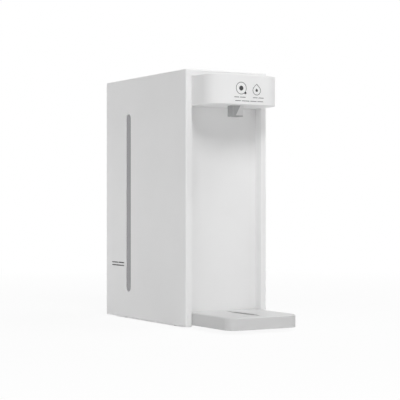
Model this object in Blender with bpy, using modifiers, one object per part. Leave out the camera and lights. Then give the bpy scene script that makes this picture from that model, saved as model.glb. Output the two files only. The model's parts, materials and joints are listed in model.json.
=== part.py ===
"""Instant hot water dispenser: slim housing, lift-out tank, nozzle head and drip tray.

Metres, +Z up. The front faces -Y, and the origin is on the table under the middle of
the outline, drip tray included.
"""
import math

import bmesh
import bpy
from mathutils import Matrix, Vector

# Clearances and allowances that every piece shares
SEAT_GAP = 0.0003
RUN_GAP = 0.0005
OVERRUN = 0.002
SINK = 0.0005
END_FLAT = 0.0001
MERGE = 0.00002

# Housing shell: a sleeve of two sides and a top, with a hollow front frame
HOUSING_W = 0.112
HOUSING_D = 0.206
HOUSING_H = 0.300
WALL = 0.0026
FRAME_W = 0.008
FRAME_RETURN = 0.0020
RECESS_D = 0.012
EDGE_R = 0.0018
FOOT_PROUD = 0.0020
TRAY_REACH = 0.0826

# Front and rear panels
PANEL_T = 0.0024
PANEL_RIB_T = 0.0016
PANEL_RIB_D = 0.004
PANEL_RIB_SIDE = 0.0231
PANEL_RIB_END = 0.020
REAR_INSET = 0.0020
REAR_T = 0.0024

# Base plate, its feet, vents and screws
BASE_LIFT = 0.0006
BASE_T = 0.0024
FOOT_R = 0.0065
FOOT_RECESS = 0.0008
FOOT_SIDE = 0.0131
FOOT_INSET = 0.030
BOSS_R = 0.0035
BOSS_H = 0.012
BOSS_INSET = 0.012
BOSS_EDGE = 0.0015
BOSS_WEB_T = 0.0024
SCREW_HEAD_R = 0.0030
SCREW_HEAD_T = 0.0010
SCREW_R = 0.0012
SCREW_L = 0.009
SCREW_RECESS = 0.0012
VENT_W = 0.003
VENT_L = 0.040
VENT_MARGIN = 0.0035
VENT_COUNT = 6
VENT_INSET = 0.020
POST_W = 0.008
POST_H = 0.013
POST_SIDE = 0.0331
POST_HOLE_DROP = 0.005

# Rear panel details
REAR_VENT_W = 0.003
REAR_VENT_H = 0.012
REAR_VENT_PITCH = 0.005
REAR_VENT_COUNT = 4
REAR_VENT_SIDE = 0.0091
REAR_VENT_RISE = 0.005
GLAND_SIDE = 0.0151
GLAND_RISE = 0.0140
GLAND_R = 0.006
GLAND_BORE_R = 0.0036
GLAND_FLANGE_R = 0.0082
GLAND_FLANGE_T = 0.0014
GLAND_L = 0.008

# Water-level window in the left side
WINDOW_W = 0.0125
WINDOW_INSET = 0.0357
WINDOW_SILL = 0.033
WINDOW_TOP_DROP = 0.0444
WINDOW_RECESS = 0.0010
WINDOW_FLANGE = 0.004
WINDOW_FLANGE_T = 0.0014

# Tank, with the bay and deck that hold it
TANK_SIDE = 0.0082
TANK_SETBACK = 0.1086
TANK_GAP = 0.001
TANK_WALL = 0.0022
TANK_CORNER_R = 0.008
TANK_FOOT_R = 0.003
DECK_RISE = 0.028
DECK_T = 0.0024
FRAME_T = 0.0024
LEG_R = 0.0035
LEG_SIDE = 0.0111
LEG_INSET = 0.016
GUIDE_T = 0.0018
GUIDE_H = 0.010
GUIDE_INSET = 0.014
HOSE_NOTCH_W = 0.020
HOSE_NOTCH_SHIFT = 0.0035

# Tank collar, with its mouth, grip bar and hinge ears
COLLAR_H = 0.012
COLLAR_LIP = 0.004
COLLAR_LIP_T = 0.0018
MOUTH_INSET = 0.008
MOUTH_REAR_INSET = 0.010
MOUTH_R = 0.005
GRIP_W = 0.012
GRIP_T = 0.006
GRIP_R = 0.002
EAR_SIDE = 0.0178
EAR_W = 0.005
EAR_R = 0.0019

# Lid and its hinge
LID_T = 0.0045
LID_GAP = 0.0008
LID_SKIRT_T = 0.0016
LID_SKIRT_H = 0.0035
LID_NAIL_W = 0.020
LID_NAIL_D = 0.0015
LID_NAIL_H = 0.0020
PIN_R = 0.0009
PIN_PAST = 0.0055
RIM_T = 0.0018
RIM_H = 0.010
SCOOP_W = 0.022
SCOOP_L = 0.009
SCOOP_DEPTH = 0.0075
SCOOP_R = 0.004
SCOOP_WALL = 0.0018

# Tank valve, strainer and the seat that the valve plugs into
VALVE_TUBE_R = 0.010
VALVE_BORE_R = 0.0075
VALVE_FLANGE_R = 0.014
VALVE_FLANGE_T = 0.0025
VALVE_REACH = 0.013
VALVE_WEB_T = 0.0020
VALVE_PORT_R = 0.0045
VALVE_BAR_W = 0.003
VALVE_BAR_T = 0.0020
VALVE_LIFT = 0.0025
NUT_R = 0.013
NUT_T = 0.0020
NUT_HOLE_R = 0.0145
STEM_R = 0.0013
STEM_TIP = 0.0013
STEM_TOP = 0.0010
DISC_R = 0.0064
DISC_T = 0.0016
RING_R = 0.0011
RING_STEPS = 8
GROOVE_DEPTH = 0.0006
GROOVE_RISE = 0.0052
SPRING_R = 0.0045
SPRING_WIRE_R = 0.0005
SPRING_TURNS = 4
SPRING_SIDES = 10
SPRING_STEPS = 1
STRAINER_R = 0.0125
STRAINER_H = 0.018
STRAINER_T = 0.0012
STRAINER_SLOT_W = 0.0018
STRAINER_SLOT_H = 0.010
STRAINER_SLOTS = 5
SEAT_R = 0.0122
SEAT_WALL = 0.0020
SEAT_FLANGE_R = 0.018
SEAT_FLANGE_T = 0.0024
SEAT_DEPTH = 0.0128
SEAT_FLOOR_T = 0.0020
SEAT_PIN_R = 0.0020
NIPPLE_R = 0.004
NIPPLE_BORE_R = 0.0025
NIPPLE_L = 0.010

# Head with its keys, board and nozzle
HEAD_H = 0.0342
HEAD_REACH = 0.047
HEAD_R = 0.024
HEAD_WALL = 0.0022
HEAD_EDGE_R = 0.0010
UNDERSIDE_T = 0.0020
HEAD_BOSS_L = 0.012
HEAD_BOSS_RISE = 0.017
HOSE_WINDOW_W = 0.044
HOSE_WINDOW_INSET = 0.0055
CONTROL_SIDE = 0.0087
CONTROL_D = 0.024
CONTROL_R = 0.006
CONTROL_T = 0.0012
CONTROL_POCKET = 0.0012
CONTROL_LEDGE = 0.0042
CONTROL_SETBACK = 0.0235
KEY_R = 0.0052
KEY_PROUD = 0.0008
KEY_EDGE = 0.0004
KEY_DISH = 0.0003
KEY_FLANGE_R = 0.0058
KEY_FLANGE_T = 0.0010
KEY_STEM_R = 0.0025
KEY_STEM_L = 0.0055
KEY_TRAVEL = 0.0008
KEY_END = 0.0105
KEY_NAMES = ("key_lock", "key_temperature", "key_volume", "key_dispense")
DOME_R = 0.003
DOME_H = 0.0035
MAT_T = 0.0010
MAT_MARGIN = 0.006
BOARD_SIDE = 0.0097
BOARD_T = 0.0016
BOARD_POST_R = 0.0015
NOZZLE_W = 0.0155
NOZZLE_D = 0.0135
NOZZLE_DROP = 0.0125
NOZZLE_SETBACK = 0.0284
NOZZLE_R = 0.003
NOZZLE_FLANGE = 0.003
NOZZLE_FLANGE_T = 0.0018
NOZZLE_BORE_R = 0.0052
SPOUT_R = 0.0045
SPOUT_BORE_R = 0.003
SPOUT_RECESS = 0.0015
SPOUT_COLLAR_R = 0.0075
SPOUT_COLLAR_T = 0.0015
SPOUT_HEAD = 0.0092
SPOUT_BARB_L = 0.0105

# Drip tray and its cover
TRAY_SIDE_GAP = 0.0006
TRAY_LIFT = 0.0021
TRAY_H = 0.0144
TRAY_R = 0.011
TRAY_EDGE_R = 0.0018
TRAY_WALL = 0.0030
TRAY_RIM = 0.0022
TRAY_FLOOR = 0.0018
COVER_T = 0.0022
SLOT_END = 0.01015
SLOT_W = 0.0104
SLOT_ARC_STEPS = 8
HOOK_SIDE = 0.0214
HOOK_W = 0.010
HOOK_T = 0.004
HOOK_PAST = 0.004

# Pump, in the machine bay behind the front panel
PUMP_SIDE = 0.0225
PUMP_SETBACK = 0.0135
PUMP_R = 0.016
PUMP_L = 0.016
PUMP_WALL = 0.0030
PUMP_CLEAR = 0.0012
PUMP_OUTLET_RISE = 0.026
MOTOR_R = 0.012
MOTOR_L = 0.032
MOTOR_HUB_R = 0.004
MOTOR_HUB_L = 0.002
ROTOR_DISC_T = 0.0012
ROTOR_BLADES = 6
ROTOR_BLADE_T = 0.0012
ROTOR_BLADE_H = 0.005
ROTOR_HUB_R = 0.0035
SHAFT_R = 0.0015
SHAFT_L = 0.012
CRADLE_W = 0.018
CRADLE_L = 0.020

# Flow meter
METER_RISE = 0.065
METER_SETBACK = 0.0235
METER_R = 0.0095
METER_L = 0.012
METER_WALL = 0.0018
METER_NIPPLE_L = 0.006
METER_LUG_W = 0.008
LINK_L = 0.005
WHEEL_R = 0.0066
WHEEL_T = 0.006
WHEEL_HUB_R = 0.0022
WHEEL_PADDLES = 6
WHEEL_PADDLE_T = 0.0010
AXLE_R = 0.0009

# Heater
HEATER_SIDE = 0.018
HEATER_R = 0.011
HEATER_BORE_R = 0.0095
HEATER_HEAD_GAP = 0.0249
CAP_R = 0.0135
CAP_H = 0.016
CAP_SOCKET = 0.006
CAP_NIPPLE_L = 0.008
CLAMP_T = 0.0020
CLAMP_H = 0.008
CLAMP_RISE_SHARES = (0.2, 0.8)
CUTOUT_R = 0.008
CUTOUT_T = 0.006
CUTOUT_RISE_SHARE = 0.5
PROBE_R = 0.0020
PROBE_L = 0.012
PROBE_HEX_R = 0.0035
PROBE_HEX_T = 0.003

# Power board and what stands on it
POWER_W = 0.052
POWER_SIDE = 0.033
POWER_RISE = 0.100
POWER_HEAD_GAP = 0.0245
POWER_STANDOFF = 0.006
POWER_POST_R = 0.0025
POWER_POST_INSET = 0.005
RELAY_SIZE = (0.028, 0.014, 0.016)
RELAY_SPOT_SHARES = (0.66, 0.16)
TRANSFORMER_SIZE = (0.020, 0.016, 0.018)
TRANSFORMER_SPOT_SHARES = (0.26, 0.60)
SINK_SIZE = (0.022, 0.016, 0.030)
SINK_SPOT_SHARES = (0.72, 0.46)
SINK_FINS = 5
SINK_FIN_T = 0.0014
SINK_PLATE_T = 0.003
TERMINAL_SIZE = (0.014, 0.010, 0.018)
TERMINAL_SPOT_SHARES = (0.20, 0.16)
CAPACITOR_R = 0.007
CAPACITOR_L = 0.020
CAPACITOR_SPOT_SHARES = (0.24, 0.37)

# Hoses and the control cable
HOSE_R = 0.004
HOSE_LEAD = 0.003
BARB_SHARE = 0.85
PUMP_HOSE_PULL_SHARE = 0.6
OUTLET_HOSE_PULL_SHARE = 1.25
HOSE_STEPS = 10
CABLE_R = 0.0016
CABLE_SIDE = 0.008
CABLE_LANDING = 0.012

# Facets
EDGE_STEPS = 3
CORNER_STEPS = 6
HEAD_STEPS = 10
ROUND_SIDES = 20
SMALL_SIDES = 14
TINY_SIDES = 8
ALONG_SHARE = 0.9
ACROSS_SHARE = 0.1
TUBE_STEPS = 2

# Heights of the housing
SHELL_Z = FOOT_PROUD
TOP_Z = SHELL_Z + HOUSING_H
BASE_Z = SHELL_Z + BASE_LIFT
BASE_TOP_Z = BASE_Z + BASE_T
RIM_Z = TOP_Z - RIM_H

# Sides, front and back of the housing
HALF_W = HOUSING_W / 2
INNER_X = HALF_W - WALL
BAY_X = HALF_W - FRAME_W
PLATE_X = INNER_X - SEAT_GAP
BOSS_X = PLATE_X - SCREW_HEAD_R - SEAT_GAP - BOSS_EDGE
FOOT_X = PLATE_X - FOOT_SIDE
POST_X = PLATE_X - POST_SIDE
GLAND_X = PLATE_X - GLAND_SIDE
FRONT_Y = -(HOUSING_D - TRAY_REACH) / 2
BACK_Y = FRONT_Y + HOUSING_D
PANEL_Y = FRONT_Y + RECESS_D
PANEL_BACK_Y = PANEL_Y + PANEL_T
REAR_FACE_Y = BACK_Y - REAR_INSET
REAR_INNER_Y = REAR_FACE_Y - REAR_T
BOSS_Y = PANEL_BACK_Y + BOSS_INSET

# Tank bay
TANK_X = HALF_W - TANK_SIDE
TANK_BACK_Y = REAR_INNER_Y - TANK_GAP
TANK_FRONT_Y = FRONT_Y + TANK_SETBACK
TANK_MID_Y = (TANK_FRONT_Y + TANK_BACK_Y) / 2
PARTITION_BACK_Y = TANK_FRONT_Y - TANK_GAP
PARTITION_Y = PARTITION_BACK_Y - FRAME_T
DECK_Z = SHELL_Z + DECK_RISE
DECK_LOW_Z = DECK_Z - DECK_T
TANK_Z = DECK_Z + SEAT_GAP
LID_Z = TOP_Z - LID_T
COLLAR_TOP_Z = LID_Z - SEAT_GAP
COLLAR_Z = COLLAR_TOP_Z - COLLAR_H
TANK_TOP_Z = COLLAR_Z - SEAT_GAP
HINGE_Y = TANK_BACK_Y - LID_T / 2
HINGE_Z = TOP_Z - LID_T / 2
EAR_X = TANK_X - EAR_SIDE
PIN_HALF_L = EAR_X + PIN_PAST
OPEN_X = TANK_X + LID_GAP
OPEN_FRONT_Y = TANK_FRONT_Y - LID_GAP
OPEN_BACK_Y = TANK_BACK_Y + LID_GAP

# Heights inside the valve and its seat
VALVE_TOP_Z = TANK_Z + TANK_WALL + SEAT_GAP + VALVE_FLANGE_T
VALVE_LOW_Z = TANK_Z - VALVE_REACH
DISC_Z = VALVE_LOW_Z + VALVE_WEB_T + VALVE_LIFT
STEM_LOW_Z = DISC_Z - STEM_TIP
SEAT_TOP_Z = DECK_LOW_Z - SEAT_GAP
SEAT_FLOOR_Z = SEAT_TOP_Z - SEAT_DEPTH
SEAT_OUTLET_Z = SEAT_FLOOR_Z + NIPPLE_BORE_R
GROOVE_Z = VALVE_LOW_Z + GROOVE_RISE

# Head
HEAD_X = BAY_X - SEAT_GAP
HEAD_FRONT_Y = FRONT_Y - HEAD_REACH
HEAD_BACK_Y = PANEL_Y - SEAT_GAP
HEAD_TOP_Z = TOP_Z - FRAME_W - SEAT_GAP
HEAD_Z = HEAD_TOP_Z - HEAD_H
HEAD_BOSS_X = HEAD_X - HEAD_WALL - BOSS_R + SINK
HEAD_BOSS_Z = HEAD_Z + HEAD_BOSS_RISE
CONTROL_X = HEAD_X - CONTROL_SIDE
CONTROL_Y = HEAD_FRONT_Y + CONTROL_SETBACK
CONTROL_Z = HEAD_TOP_Z - CONTROL_POCKET + SEAT_GAP
NOZZLE_Y = HEAD_FRONT_Y + NOZZLE_SETBACK
NOZZLE_Z = HEAD_Z - NOZZLE_DROP
NOZZLE_SEAT_Z = HEAD_Z + UNDERSIDE_T + SEAT_GAP
SPOUT_SEAT_Z = NOZZLE_SEAT_Z + NOZZLE_FLANGE_T + SEAT_GAP
SPOUT_BARB_Z = SPOUT_SEAT_Z + SPOUT_COLLAR_T + NIPPLE_R
KEY_TOP_Z = CONTROL_Z + CONTROL_T + KEY_PROUD
KEY_FLANGE_Z = CONTROL_Z - SEAT_GAP
KEY_LOW_Z = KEY_FLANGE_Z - KEY_FLANGE_T - KEY_STEM_L
DOME_TOP_Z = KEY_LOW_Z - KEY_TRAVEL - SEAT_GAP
BOARD_TOP_Z = DOME_TOP_Z - DOME_H - SEAT_GAP
BOARD_X = HEAD_X - BOARD_SIDE
BOARD_HALF_D = CONTROL_D / 2

# Drip tray
TRAY_X = BAY_X - TRAY_SIDE_GAP
TRAY_FRONT_Y = FRONT_Y - TRAY_REACH
TRAY_BACK_Y = PANEL_Y - SEAT_GAP
TRAY_MID_Y = (TRAY_FRONT_Y + TRAY_BACK_Y) / 2
SLOT_HALF_L = (TRAY_BACK_Y - TRAY_FRONT_Y) / 2 - SLOT_END
HOOK_X = TRAY_X - HOOK_SIDE
TRAY_Z = SHELL_Z + TRAY_LIFT
TRAY_TOP_Z = TRAY_Z + TRAY_H
COVER_Z = TRAY_TOP_Z - COVER_T
HOOK_Z = BASE_TOP_Z + SEAT_GAP
HOOK_TOP_Z = HOOK_Z + HOOK_T

# Machine bay
PUMP_X = HALF_W - PUMP_SIDE
PUMP_BACK_Y = PARTITION_Y - PUMP_SETBACK
PUMP_FRONT_Y = PUMP_BACK_Y - PUMP_L
PUMP_Z = BASE_TOP_Z + PUMP_R + PUMP_CLEAR
PUMP_CAVITY_R = PUMP_R - PUMP_WALL
PUMP_OUTLET_X = PUMP_X + PUMP_CAVITY_R - NIPPLE_R
PUMP_OUTLET_Z = PUMP_Z + PUMP_OUTLET_RISE
MOTOR_BACK_Y = PUMP_FRONT_Y - SEAT_GAP
HEATER_X = -HALF_W + HEATER_SIDE
METER_X = HEATER_X + CAP_R + CAP_NIPPLE_L + LINK_L + METER_NIPPLE_L + METER_R
METER_Y = PARTITION_Y - METER_SETBACK
METER_Z = BASE_TOP_Z + METER_RISE
METER_CAVITY_R = METER_R - METER_WALL
HEATER_Y = METER_Y
HEATER_CAP_Z = METER_Z - CAP_H / 2
HEATER_Z = HEATER_CAP_Z + CAP_H - CAP_SOCKET + SEAT_GAP
UPPER_CAP_Z = HEAD_Z - HEATER_HEAD_GAP - CAP_H
HEATER_L = UPPER_CAP_Z + CAP_SOCKET - SEAT_GAP - HEATER_Z
POWER_X = HALF_W - POWER_SIDE
POWER_FACE_Y = PARTITION_Y - POWER_STANDOFF - SEAT_GAP - BOARD_T
POWER_Z = BASE_TOP_Z + POWER_RISE
POWER_H = HEAD_Z - POWER_HEAD_GAP - POWER_Z
CABLE_X = HOSE_WINDOW_W / 2 - CABLE_SIDE

# Finishes: linear colour, roughness, metallic
WHITE_ABS = ((0.80, 0.80, 0.80), 0.38, 0.0)
GREY_ABS = ((0.56, 0.56, 0.56), 0.42, 0.0)
NOZZLE_GREY = ((0.42, 0.42, 0.43), 0.35, 0.0)
SMOKED_PC = ((0.30, 0.30, 0.31), 0.20, 0.0)
CLEAR_AS = ((0.62, 0.66, 0.68), 0.12, 0.0)
BLACK_GLOSS = ((0.03, 0.03, 0.035), 0.15, 0.0)
KEY_WHITE = ((0.72, 0.72, 0.72), 0.45, 0.0)
RUBBER = ((0.05, 0.05, 0.05), 0.80, 0.0)
SILICONE = ((0.70, 0.68, 0.64), 0.45, 0.0)
STEEL = ((0.56, 0.56, 0.57), 0.28, 1.0)
BOARD_GREEN = ((0.03, 0.16, 0.07), 0.45, 0.0)
BOARD_BLACK = ((0.04, 0.04, 0.045), 0.50, 0.0)
NYLON = ((0.55, 0.53, 0.48), 0.50, 0.0)
ACETAL_BLUE = ((0.10, 0.22, 0.42), 0.40, 0.0)
TAPE_YELLOW = ((0.62, 0.42, 0.06), 0.50, 0.0)


# Scene and finishes

def clear_scene():
    """Remove whatever the file opened with."""
    for obj in list(bpy.data.objects):
        bpy.data.objects.remove(obj, do_unlink=True)


def new_collection(name):
    """A collection under the scene's own."""
    collection = bpy.data.collections.new(name)
    bpy.context.scene.collection.children.link(collection)
    return collection


clear_scene()
PARTS = new_collection("hot_water_dispenser")
CUTTERS = new_collection("cutters")


def set_finish(obj, finish):
    """Give a piece its own Principled material."""
    colour, roughness, metallic = finish
    material = bpy.data.materials.new(obj.name + "_finish")
    material.use_nodes = True
    shader = material.node_tree.nodes["Principled BSDF"]
    shader.inputs["Base Color"].default_value = (*colour, 1)
    shader.inputs["Roughness"].default_value = roughness
    shader.inputs["Metallic"].default_value = metallic
    obj.data.materials.append(material)


def add_object(name, data, finish, location=(0, 0, 0)):
    """Link a piece, or a cutter where there is no finish."""
    obj = bpy.data.objects.new(name, data)
    obj.location = location
    if finish:
        PARTS.objects.link(obj)
        set_finish(obj, finish)
    else:
        CUTTERS.objects.link(obj)
        obj.hide_render = True
        obj.display_type = 'WIRE'
    return obj


def add_mesh(name, bm, finish, location=(0, 0, 0), smooth=False):
    """Turn a bmesh into an object, round pieces shaded smooth."""
    mesh = bpy.data.meshes.new(name)
    bm.to_mesh(mesh)
    bm.free()
    if smooth:
        mesh.shade_smooth()
        mesh.set_sharp_from_angle(angle=math.radians(40))
    return add_object(name, mesh, finish, location)


# Edges that a block rounds, chosen about its own centre

def edge_run(edge):
    """The direction of an edge."""
    return (edge.verts[1].co - edge.verts[0].co).normalized()


def edge_middle(edge):
    """The middle of an edge."""
    return (edge.verts[0].co + edge.verts[1].co) / 2


def every_edge(edge):
    """All twelve edges."""
    return True


def upright(edge):
    """Edges along Z."""
    return abs(edge_run(edge).z) > ALONG_SHARE


def front_upright(edge):
    """Edges along Z on the front side."""
    return upright(edge) and edge_middle(edge).y < 0


def along_x(edge):
    """Edges along X."""
    return abs(edge_run(edge).x) > ALONG_SHARE


def rear_along_x(edge):
    """Edges along X on the rear side."""
    return along_x(edge) and edge_middle(edge).y > 0


def top_along_x(edge):
    """Edges along X on the top."""
    return along_x(edge) and edge_middle(edge).z > 0


def top_rim(edge):
    """The top outline, apart from a straight rear edge."""
    return abs(edge_run(edge).z) < ACROSS_SHARE and edge_middle(edge).z > 0 and not rear_along_x(edge)


def bottom_rim(edge):
    """The bottom outline."""
    return abs(edge_run(edge).z) < ACROSS_SHARE and edge_middle(edge).z < 0


# Shapes

def block_mesh(low, high, rounds=()):
    """A box about its own centre, its chosen edges rounded in turn."""
    bm = bmesh.new()
    bmesh.ops.create_cube(bm, size=1)
    bmesh.ops.scale(bm, vec=Vector(high) - Vector(low), verts=bm.verts)
    for chosen, radius, steps in rounds:
        edges = [edge for edge in bm.edges if chosen(edge)]
        bmesh.ops.bevel(bm, geom=edges, offset=radius, segments=steps, profile=0.5, affect='EDGES')
    return bm


def block(name, low, high, finish=None, rounds=()):
    """A box between two corner points."""
    centre = (Vector(low) + Vector(high)) / 2
    return add_mesh(name, block_mesh(low, high, rounds), finish, centre, smooth=bool(rounds))


def open_shell(name, low, high, wall, finish, rounds, open_sides):
    """A box with some sides left open and a wall grown inwards."""
    bm = block_mesh(low, high, rounds)
    gone = [face for face in bm.faces if any(face.normal.dot(Vector(side)) > ALONG_SHARE for side in open_sides)]
    bmesh.ops.delete(bm, geom=gone, context='FACES')
    shell = add_mesh(name, bm, finish, (Vector(low) + Vector(high)) / 2, smooth=True)
    solid = shell.modifiers.new("wall", 'SOLIDIFY')
    solid.thickness = wall
    solid.offset = -1
    solid.use_even_offset = True
    return shell


def block_row(name, low, high, step, count, finish=None):
    """Equal boxes, each one step further on."""
    size = Vector(high) - Vector(low)
    centre = (Vector(low) + Vector(high)) / 2
    bm = bmesh.new()
    for index in range(count):
        place = Matrix.Translation(centre + Vector(step) * index) @ Matrix.Diagonal((*size, 1))
        bmesh.ops.create_cube(bm, size=1, matrix=place)
    return add_mesh(name, bm, finish)


def rods(name, starts, reach, radius, finish=None, sides=SMALL_SIDES):
    """Equal cylinders, one from each start point along the same reach."""
    reach = Vector(reach)
    turn = reach.to_track_quat('Z', 'Y').to_matrix().to_4x4()
    bm = bmesh.new()
    for start in starts:
        place = Matrix.Translation(Vector(start) + reach / 2) @ turn
        bmesh.ops.create_cone(bm, cap_ends=True, segments=sides, radius1=radius, radius2=radius,
                              depth=reach.length, matrix=place)
    return add_mesh(name, bm, finish, smooth=True)


def screw(name, seat, run):
    """A pan-head screw: a head whose face seats at a point, and a shank drawn out of that face."""
    run = Vector(run)
    bm = bmesh.new()
    turn = run.to_track_quat('Z', 'Y').to_matrix().to_4x4()
    place = Matrix.Translation(Vector(seat) - run * SCREW_HEAD_T / 2) @ turn
    bmesh.ops.create_cone(bm, cap_ends=True, segments=TINY_SIDES, radius1=SCREW_HEAD_R, radius2=SCREW_HEAD_R,
                          depth=SCREW_HEAD_T, matrix=place)
    bm.normal_update()
    seat_face = [face for face in bm.faces if face.normal.dot(run) > ALONG_SHARE]
    bmesh.ops.inset_region(bm, faces=seat_face, thickness=SCREW_HEAD_R - SCREW_R)
    drawn = bmesh.ops.extrude_discrete_faces(bm, faces=seat_face)
    tip = {vert for face in drawn["faces"] for vert in face.verts}
    bmesh.ops.translate(bm, vec=run * SCREW_L, verts=list(tip))
    return add_mesh(name, bm, STEEL, smooth=True)


def turned(name, section, at, finish=None, sides=ROUND_SIDES, run=(0, 0, 1)):
    """A turned piece about `run`; the section lists (radius, height), outer side downwards."""
    bm = bmesh.new()
    verts = [bm.verts.new((radius, 0, height)) for radius, height in section]
    for first, second in zip(verts, verts[1:]):
        bm.edges.new((first, second))
    if section[0][0] > 0:
        bm.edges.new((verts[-1], verts[0]))
    obj = add_mesh(name, bm, finish, at)
    obj.rotation_euler = Vector(run).to_track_quat('Z', 'Y').to_euler()
    sweep = obj.modifiers.new("turn", 'SCREW')
    sweep.steps = sides
    sweep.render_steps = sides
    sweep.use_merge_vertices = True
    sweep.merge_threshold = MERGE
    return obj


def bezier_points(start, start_pull, end, end_pull):
    """Points along one smooth curve between two ends, each end led straight in."""
    start, end = Vector(start), Vector(end)
    start_pull, end_pull = Vector(start_pull), Vector(end_pull)
    points = [start]
    first = start + start_pull.normalized() * HOSE_LEAD
    last = end + end_pull.normalized() * HOSE_LEAD
    for index in range(HOSE_STEPS + 1):
        t = index / HOSE_STEPS
        s = 1 - t
        pulled = (first + start_pull) * 3 * s * s * t + (last + end_pull) * 3 * s * t * t
        points.append(first * s**3 + pulled + last * t**3)
    points.append(end)
    return points


def tube(name, points, radius, finish, steps=TUBE_STEPS):
    """A round tube along a list of points."""
    curve = bpy.data.curves.new(name, 'CURVE')
    curve.dimensions = '3D'
    curve.bevel_depth = radius
    curve.bevel_resolution = steps
    curve.use_fill_caps = True
    spline = curve.splines.new('POLY')
    spline.points.add(len(points) - 1)
    for point, spot in zip(spline.points, points):
        point.co = (*spot, 1)
    return add_object(name, curve, finish)


def outline_block(name, points, low_z, high_z):
    """A cutter drawn as a flat outline and thickened, then made a mesh."""
    curve = bpy.data.curves.new(name, 'CURVE')
    curve.dimensions = '2D'
    curve.fill_mode = 'BOTH'
    curve.extrude = (high_z - low_z) / 2
    spline = curve.splines.new('POLY')
    spline.points.add(len(points) - 1)
    spline.use_cyclic_u = True
    for point, (x, y) in zip(spline.points, points):
        point.co = (x, y, 0, 1)
    drawn = add_object(name + "_outline", curve, None, (0, 0, (low_z + high_z) / 2))
    bpy.context.view_layer.update()
    graph = bpy.context.evaluated_depsgraph_get()
    mesh = bpy.data.meshes.new_from_object(drawn.evaluated_get(graph))
    bm = bmesh.new()
    bm.from_mesh(mesh)
    bmesh.ops.remove_doubles(bm, verts=bm.verts, dist=MERGE)
    bm.to_mesh(mesh)
    bm.free()
    cutter = add_object(name, mesh, None)
    cutter.matrix_world = drawn.matrix_world
    bpy.data.objects.remove(drawn)
    return cutter


def cut(target, *cutters):
    """Cut each cutter out of the target."""
    for cutter in cutters:
        step = target.modifiers.new("cut_" + cutter.name, 'BOOLEAN')
        step.operation = 'DIFFERENCE'
        step.object = cutter


def join(target, *pieces):
    """Fuse each piece to the target."""
    for piece in pieces:
        step = target.modifiers.new("join_" + piece.name, 'BOOLEAN')
        step.operation = 'UNION'
        step.object = piece


SIDES = ("left", "right")


def mirrored(x, *rest):
    """The same place on the left and on the right."""
    return [(-x, *rest), (x, *rest)]


# Joint axes

def axis(name, location, parent=None):
    """An empty on a joint's axis."""
    empty = bpy.data.objects.new(name, None)
    empty.location = location
    PARTS.objects.link(empty)
    if parent:
        carry(parent, empty)
    return empty


def carry(parent, *pieces):
    """Parent pieces where they stand."""
    bpy.context.view_layer.update()
    for piece in pieces:
        piece.parent = parent
        piece.matrix_parent_inverse = parent.matrix_world.inverted()


# Housing

def front_rounded(radius, steps=CORNER_STEPS):
    """Rounds for a plan with two round front corners."""
    return [(front_upright, radius, steps)]


def stadium(half_w):
    """Rounds for an upright bar with round ends, seen from the side."""
    return [(along_x, half_w - END_FLAT, CORNER_STEPS)]


def window_block(name, half_w, grow, outer_x, inner_x, finish=None):
    """An upright bar with round ends at the level window, on the left side."""
    y = TANK_FRONT_Y + WINDOW_INSET
    low = SHELL_Z + WINDOW_SILL - grow
    high = TOP_Z - WINDOW_TOP_DROP + grow
    return block(name, (outer_x, y - half_w, low), (inner_x, y + half_w, high), finish, stadium(half_w))


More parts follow.
